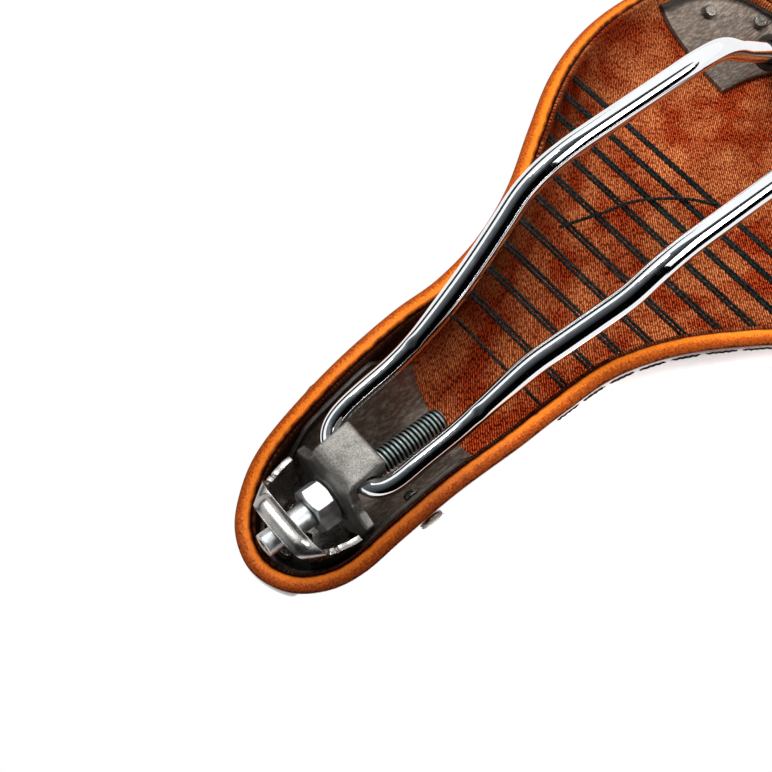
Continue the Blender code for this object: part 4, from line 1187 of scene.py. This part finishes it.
def cup_sections(wall_steps=28, arch_steps=36):
    """Half sections of the cup: crown to wall edge, then on over the strap to its middle."""
    front_z = BOLT_Z - PIN_RADIUS - STRAP_CLEARANCE - CUP_THICK / 2
    rear_z = BOLT_Z - BOLT_RADIUS - STRAP_CLEARANCE - CUP_THICK / 2
    rows = []
    for u in spread(CUP_FRONT, STRAP_END, STRAP_STEPS) + spread(STRAP_END, CUP_REAR, CUP_STEPS)[1:]:
        along = min(1.0, (u - CUP_FRONT) / (STRAP_END - CUP_FRONT))
        edge_z = CUP_FRONT_EDGE_Z + (CUP_EDGE_Z - CUP_FRONT_EDGE_Z) * along
        edge_z += shear_tear(u) * ease_between(STRAP_END, STRAP_END + 0.1, u)
        top = solve(lambda v: layer_point(u, v, CUP_DEPTH).z - edge_z, -0.4, 0.8)
        near_strap = min(1.0, max(0.0, (CUP_FLARE_END - u) / (CUP_FLARE_END - STRAP_END)))
        row = []
        for share in spread(0, 1, wall_steps):
            u_here = u + CUP_FRONT_SLANT * (1 - along) * (1 - share)
            depth = CUP_DEPTH - CUP_FLARE * share**6 * near_strap
            row.append(layer_point(u_here, 1 + (top - 1) * share, depth))
        edge = row[-1]
        if u <= STRAP_END:
            crest_y = STRAP_FRONT_Y + (STRAP_REAR_Y - STRAP_FRONT_Y) * along
            crest_z = front_z + (rear_z - front_z) * along
            swell = STRAP_BEAD * ease_between(0.02, 0.42, along) * ease_between(0.98, 0.58, along)
            for k in range(1, arch_steps + 1):
                angle = math.pi / 2 * k / arch_steps
                rise = math.sin(angle) ** STRAP_FLATNESS
                x = edge.x * max(0.0, math.cos(angle)) ** STRAP_FLATNESS
                bead = swell * ease_between(BEAD_HALF + 2 * MM, BEAD_HALF - 1 * MM, x)
                row.append(Vector((x, edge.y + (crest_y - edge.y) * rise,
                                   edge.z + (crest_z - edge.z) * rise - bead)))
            row[-1].x = 0
        rows.append(row)
    return rows


def cup_piece(finish):
    work = bmesh.new()
    for side in (1, -1):
        rows = [[work.verts.new((p.x * side, p.y, p.z)) for p in row] for row in cup_sections()]
        for a, b in zip(rows, rows[1:]):
            for k in range(min(len(a), len(b)) - 1):
                work.faces.new((a[k], b[k], b[k + 1], a[k + 1]))
    bmesh.ops.remove_doubles(work, verts=work.verts, dist=JOIN)
    piece = mesh_piece("pressed_cup", work, finish)
    piece.data.set_sharp_from_angle(angle=ALL_SMOOTH)
    thickened(piece, CUP_THICK)
    eased(piece, CUP_EASE, PLATE_CORNER)
    return stand_for(piece, "nose_cup", "nose")


cup = cup_piece(bright)
print("cup faces", len(cup.data.polygons))

# %% [markdown]
# ## Rivets
# Each rivet has a domed steel head on the leather and a clenched tail inside, and all have gone dull. They
# could be turned afresh from a profile, but the model's rivets have the right form already, so each one is
# copied and softened like the shackle, with a finer skin.

# %% Softened rivets


def rivet_steel():
    made, tree, shader = finish_material("rivet_steel", Metallic=1.0, Roughness=0.3)
    place = add(tree, "ShaderNodeTexCoord").outputs["Object"]
    # Hammer marks are about 0.8 mm across
    marks = add(tree, "ShaderNodeTexNoise", {"Vector": place, "Scale": 1 / (0.8 * MM), "Detail": 4.0})
    colour = add(tree, "ShaderNodeMix", {"Factor": marks.outputs["Fac"], 6: linear("#5E5852"),
                                         7: linear("#8E8982")}, data_type="RGBA")
    tree.links.new(colour.outputs[2], shader.inputs["Base Color"])
    rough = add(tree, "ShaderNodeMapRange", {"Value": marks.outputs["Fac"], "From Min": 0.3,
                                             "From Max": 0.7, "To Min": 0.2, "To Max": 0.45})
    tree.links.new(rough.outputs[0], shader.inputs["Roughness"])
    bump = add(tree, "ShaderNodeBump", {"Height": marks.outputs["Fac"], "Strength": 0.3,
                                        "Distance": 0.08 * MM})
    tree.links.new(bump.outputs[0], shader.inputs["Normal"])
    return made


rivet_finish = rivet_steel()
rivets = []
for name, node in frame["nodes"].items():
    if "rivet" in name:
        piece = softened("turned_" + name, name, rivet_finish, size=0.22 * MM, rounds=3)
        rivets.append(stand_for(piece, name, node["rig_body"]))
print("rivets", len(rivets))

# %% [markdown]
# ## Stage
# The floor is about a metre below the saddle, as on a bicycle. It is painted grey, so that it throws little
# light up, and it glows for the camera and for mirrors, which see it nearly white. White walls all round
# come from the world. Dark panels hang behind the camera and at the side: only mirrors see them, and they
# give the chrome its dark band and its fine line. A picture of a real room could light it too, but panels
# can be set to match.

# %% Floor and white room
FLOOR_DROP = 0.95
FLOOR_HALF = 6.0
FLOOR_GLOW = 0.78
ROOM_LIGHT = 0.1


def floor_piece():
    work = bmesh.new()
    bmesh.ops.create_grid(work, x_segments=8, y_segments=8, size=FLOOR_HALF)
    made, tree, shader = finish_material("pale_floor", Roughness=0.8)
    place = add(tree, "ShaderNodeTexCoord").outputs["Object"]
    # The paint changes about three times in a metre
    cloud = add(tree, "ShaderNodeTexNoise", {"Vector": place, "Scale": 3.0, "Detail": 2.0})
    colour = add(tree, "ShaderNodeMix", {"Factor": cloud.outputs["Fac"], 6: linear("#9C9C9C"),
                                         7: linear("#A4A4A4")}, data_type="RGBA")
    tree.links.new(colour.outputs[2], shader.inputs["Base Color"])
    rays = add(tree, "ShaderNodeLightPath").outputs
    glow = add(tree, "ShaderNodeMath", {0: rays["Is Camera Ray"], 1: FLOOR_GLOW, 2: rays["Is Glossy Ray"]},
               operation="MULTIPLY_ADD")
    shader.inputs["Emission Color"].default_value = (1, 1, 1, 1)
    tree.links.new(glow.outputs[0], shader.inputs["Emission Strength"])
    piece = mesh_piece("floor", work, made)
    piece.location.z = -FLOOR_DROP
    return piece


def white_room(strength):
    """White to the camera and to mirrors, and weaker as a light on the saddle."""
    world = bpy.data.worlds.new("white_room")
    world.use_nodes = True
    tree = world.node_tree
    rays = add(tree, "ShaderNodeLightPath").outputs
    seen = add(tree, "ShaderNodeMath", {0: rays["Is Camera Ray"], 1: rays["Is Glossy Ray"]},
               operation="MAXIMUM")
    seen = add(tree, "ShaderNodeMath", {0: seen.outputs[0], 1: rays["Is Transmission Ray"]},
               operation="MAXIMUM")
    level = add(tree, "ShaderNodeMapRange", {"Value": seen.outputs[0], "To Min": strength, "To Max": 1.0})
    tree.links.new(level.outputs[0], tree.nodes["Background"].inputs["Strength"])
    tree.nodes["Background"].inputs["Color"].default_value = (1, 1, 1, 1)
    scene.world = world


floor = floor_piece()
white_room(ROOM_LIGHT)
print("floor at", floor.location.z, "world", scene.world.name)

# %% Lamps
TARGET = Vector((0, -70, 40)) * MM


def lamp(name, place, aim, size, power):
    data = bpy.data.lights.new(name, "AREA")
    data.size = size
    data.energy = power
    item = bpy.data.objects.new(name, data)
    item.location = place
    item.rotation_mode = "QUATERNION"
    item.rotation_quaternion = (aim - place).to_track_quat("-Z", "Y")
    scene.collection.objects.link(item)
    return item


key = lamp("key", Vector((0.24, -0.14, -0.82)), TARGET, 0.5, 10.5)
fill = lamp("fill", Vector((-0.6, 0.4, -0.8)), TARGET, 0.6, 7.0)
top = lamp("top", Vector((-0.15, 0.15, 1.2)), Vector(), 0.9, 8.0)
print("lamps in watts", [item.data.energy for item in (key, fill, top)])

# %% Dark panels for the chrome
# Distances of the panels from the saddle, in metres
CURTAIN_BACK, HORIZON_OUT = 0.6, 1.5
# Ends of each panel along the rails and across, in metres. The rails' level stretch mirrors the far end,
# where a slit between two panels lets the white wall through.
CURTAIN_PANELS = [(-1.2, 0.25, -1.9, 0.75), (0.25, 1.4, -0.1, 0.8), (0.25, 1.4, -4.0, -0.6)]
# Past the edge of the white floor the room is dark, which draws a fine line down each rail
HORIZON_PANELS = [(-1.6, 1.6, -0.34, 0.36)]


def curtain_piece(name, centre, along, across, panels):
    """Dark panels that only mirrors see, a little lighter to one side."""
    work = bmesh.new()
    for a, b, low, high in panels:
        corners = ((a, low), (b, low), (b, high), (a, high))
        work.faces.new([work.verts.new((x, y, 0)) for x, y in corners])
    made, tree, shader = finish_material("dark_" + name, Roughness=0.9, Specular_IOR_Level=0.0)
    shader.inputs["Base Color"].default_value = linear("#060606")
    place = add(tree, "ShaderNodeTexCoord").outputs["Object"]
    height = add(tree, "ShaderNodeSeparateXYZ", {"Vector": place}).outputs["Y"]
    fade = add(tree, "ShaderNodeMapRange", {"Value": height, "From Min": -0.1, "From Max": 0.8,
                                            "To Max": 0.28})
    shader.inputs["Emission Color"].default_value = linear("#D4DEE8")
    tree.links.new(fade.outputs[0], shader.inputs["Emission Strength"])
    piece = mesh_piece(name, work, made)
    turn = Matrix((along, across, along.cross(across))).transposed().to_4x4()
    piece.matrix_world = Matrix.Translation(centre) @ turn
    piece.visible_camera = False
    piece.visible_diffuse = False
    piece.visible_shadow = False
    return piece


# The rails run this way in the picture
rail_way = (CAMERA_RIGHT * 0.62 + CAMERA_UP * 0.78).normalized()
rail_side = CAMERA_BACK.cross(rail_way)
behind, beside = TARGET + CAMERA_BACK * CURTAIN_BACK, TARGET + rail_side * HORIZON_OUT
curtain = curtain_piece("curtain", behind, rail_way, rail_side, CURTAIN_PANELS)
horizon = curtain_piece("horizon", beside, rail_way, CAMERA_BACK, HORIZON_PANELS)
print("panels", len(curtain.data.polygons) + len(horizon.data.polygons))
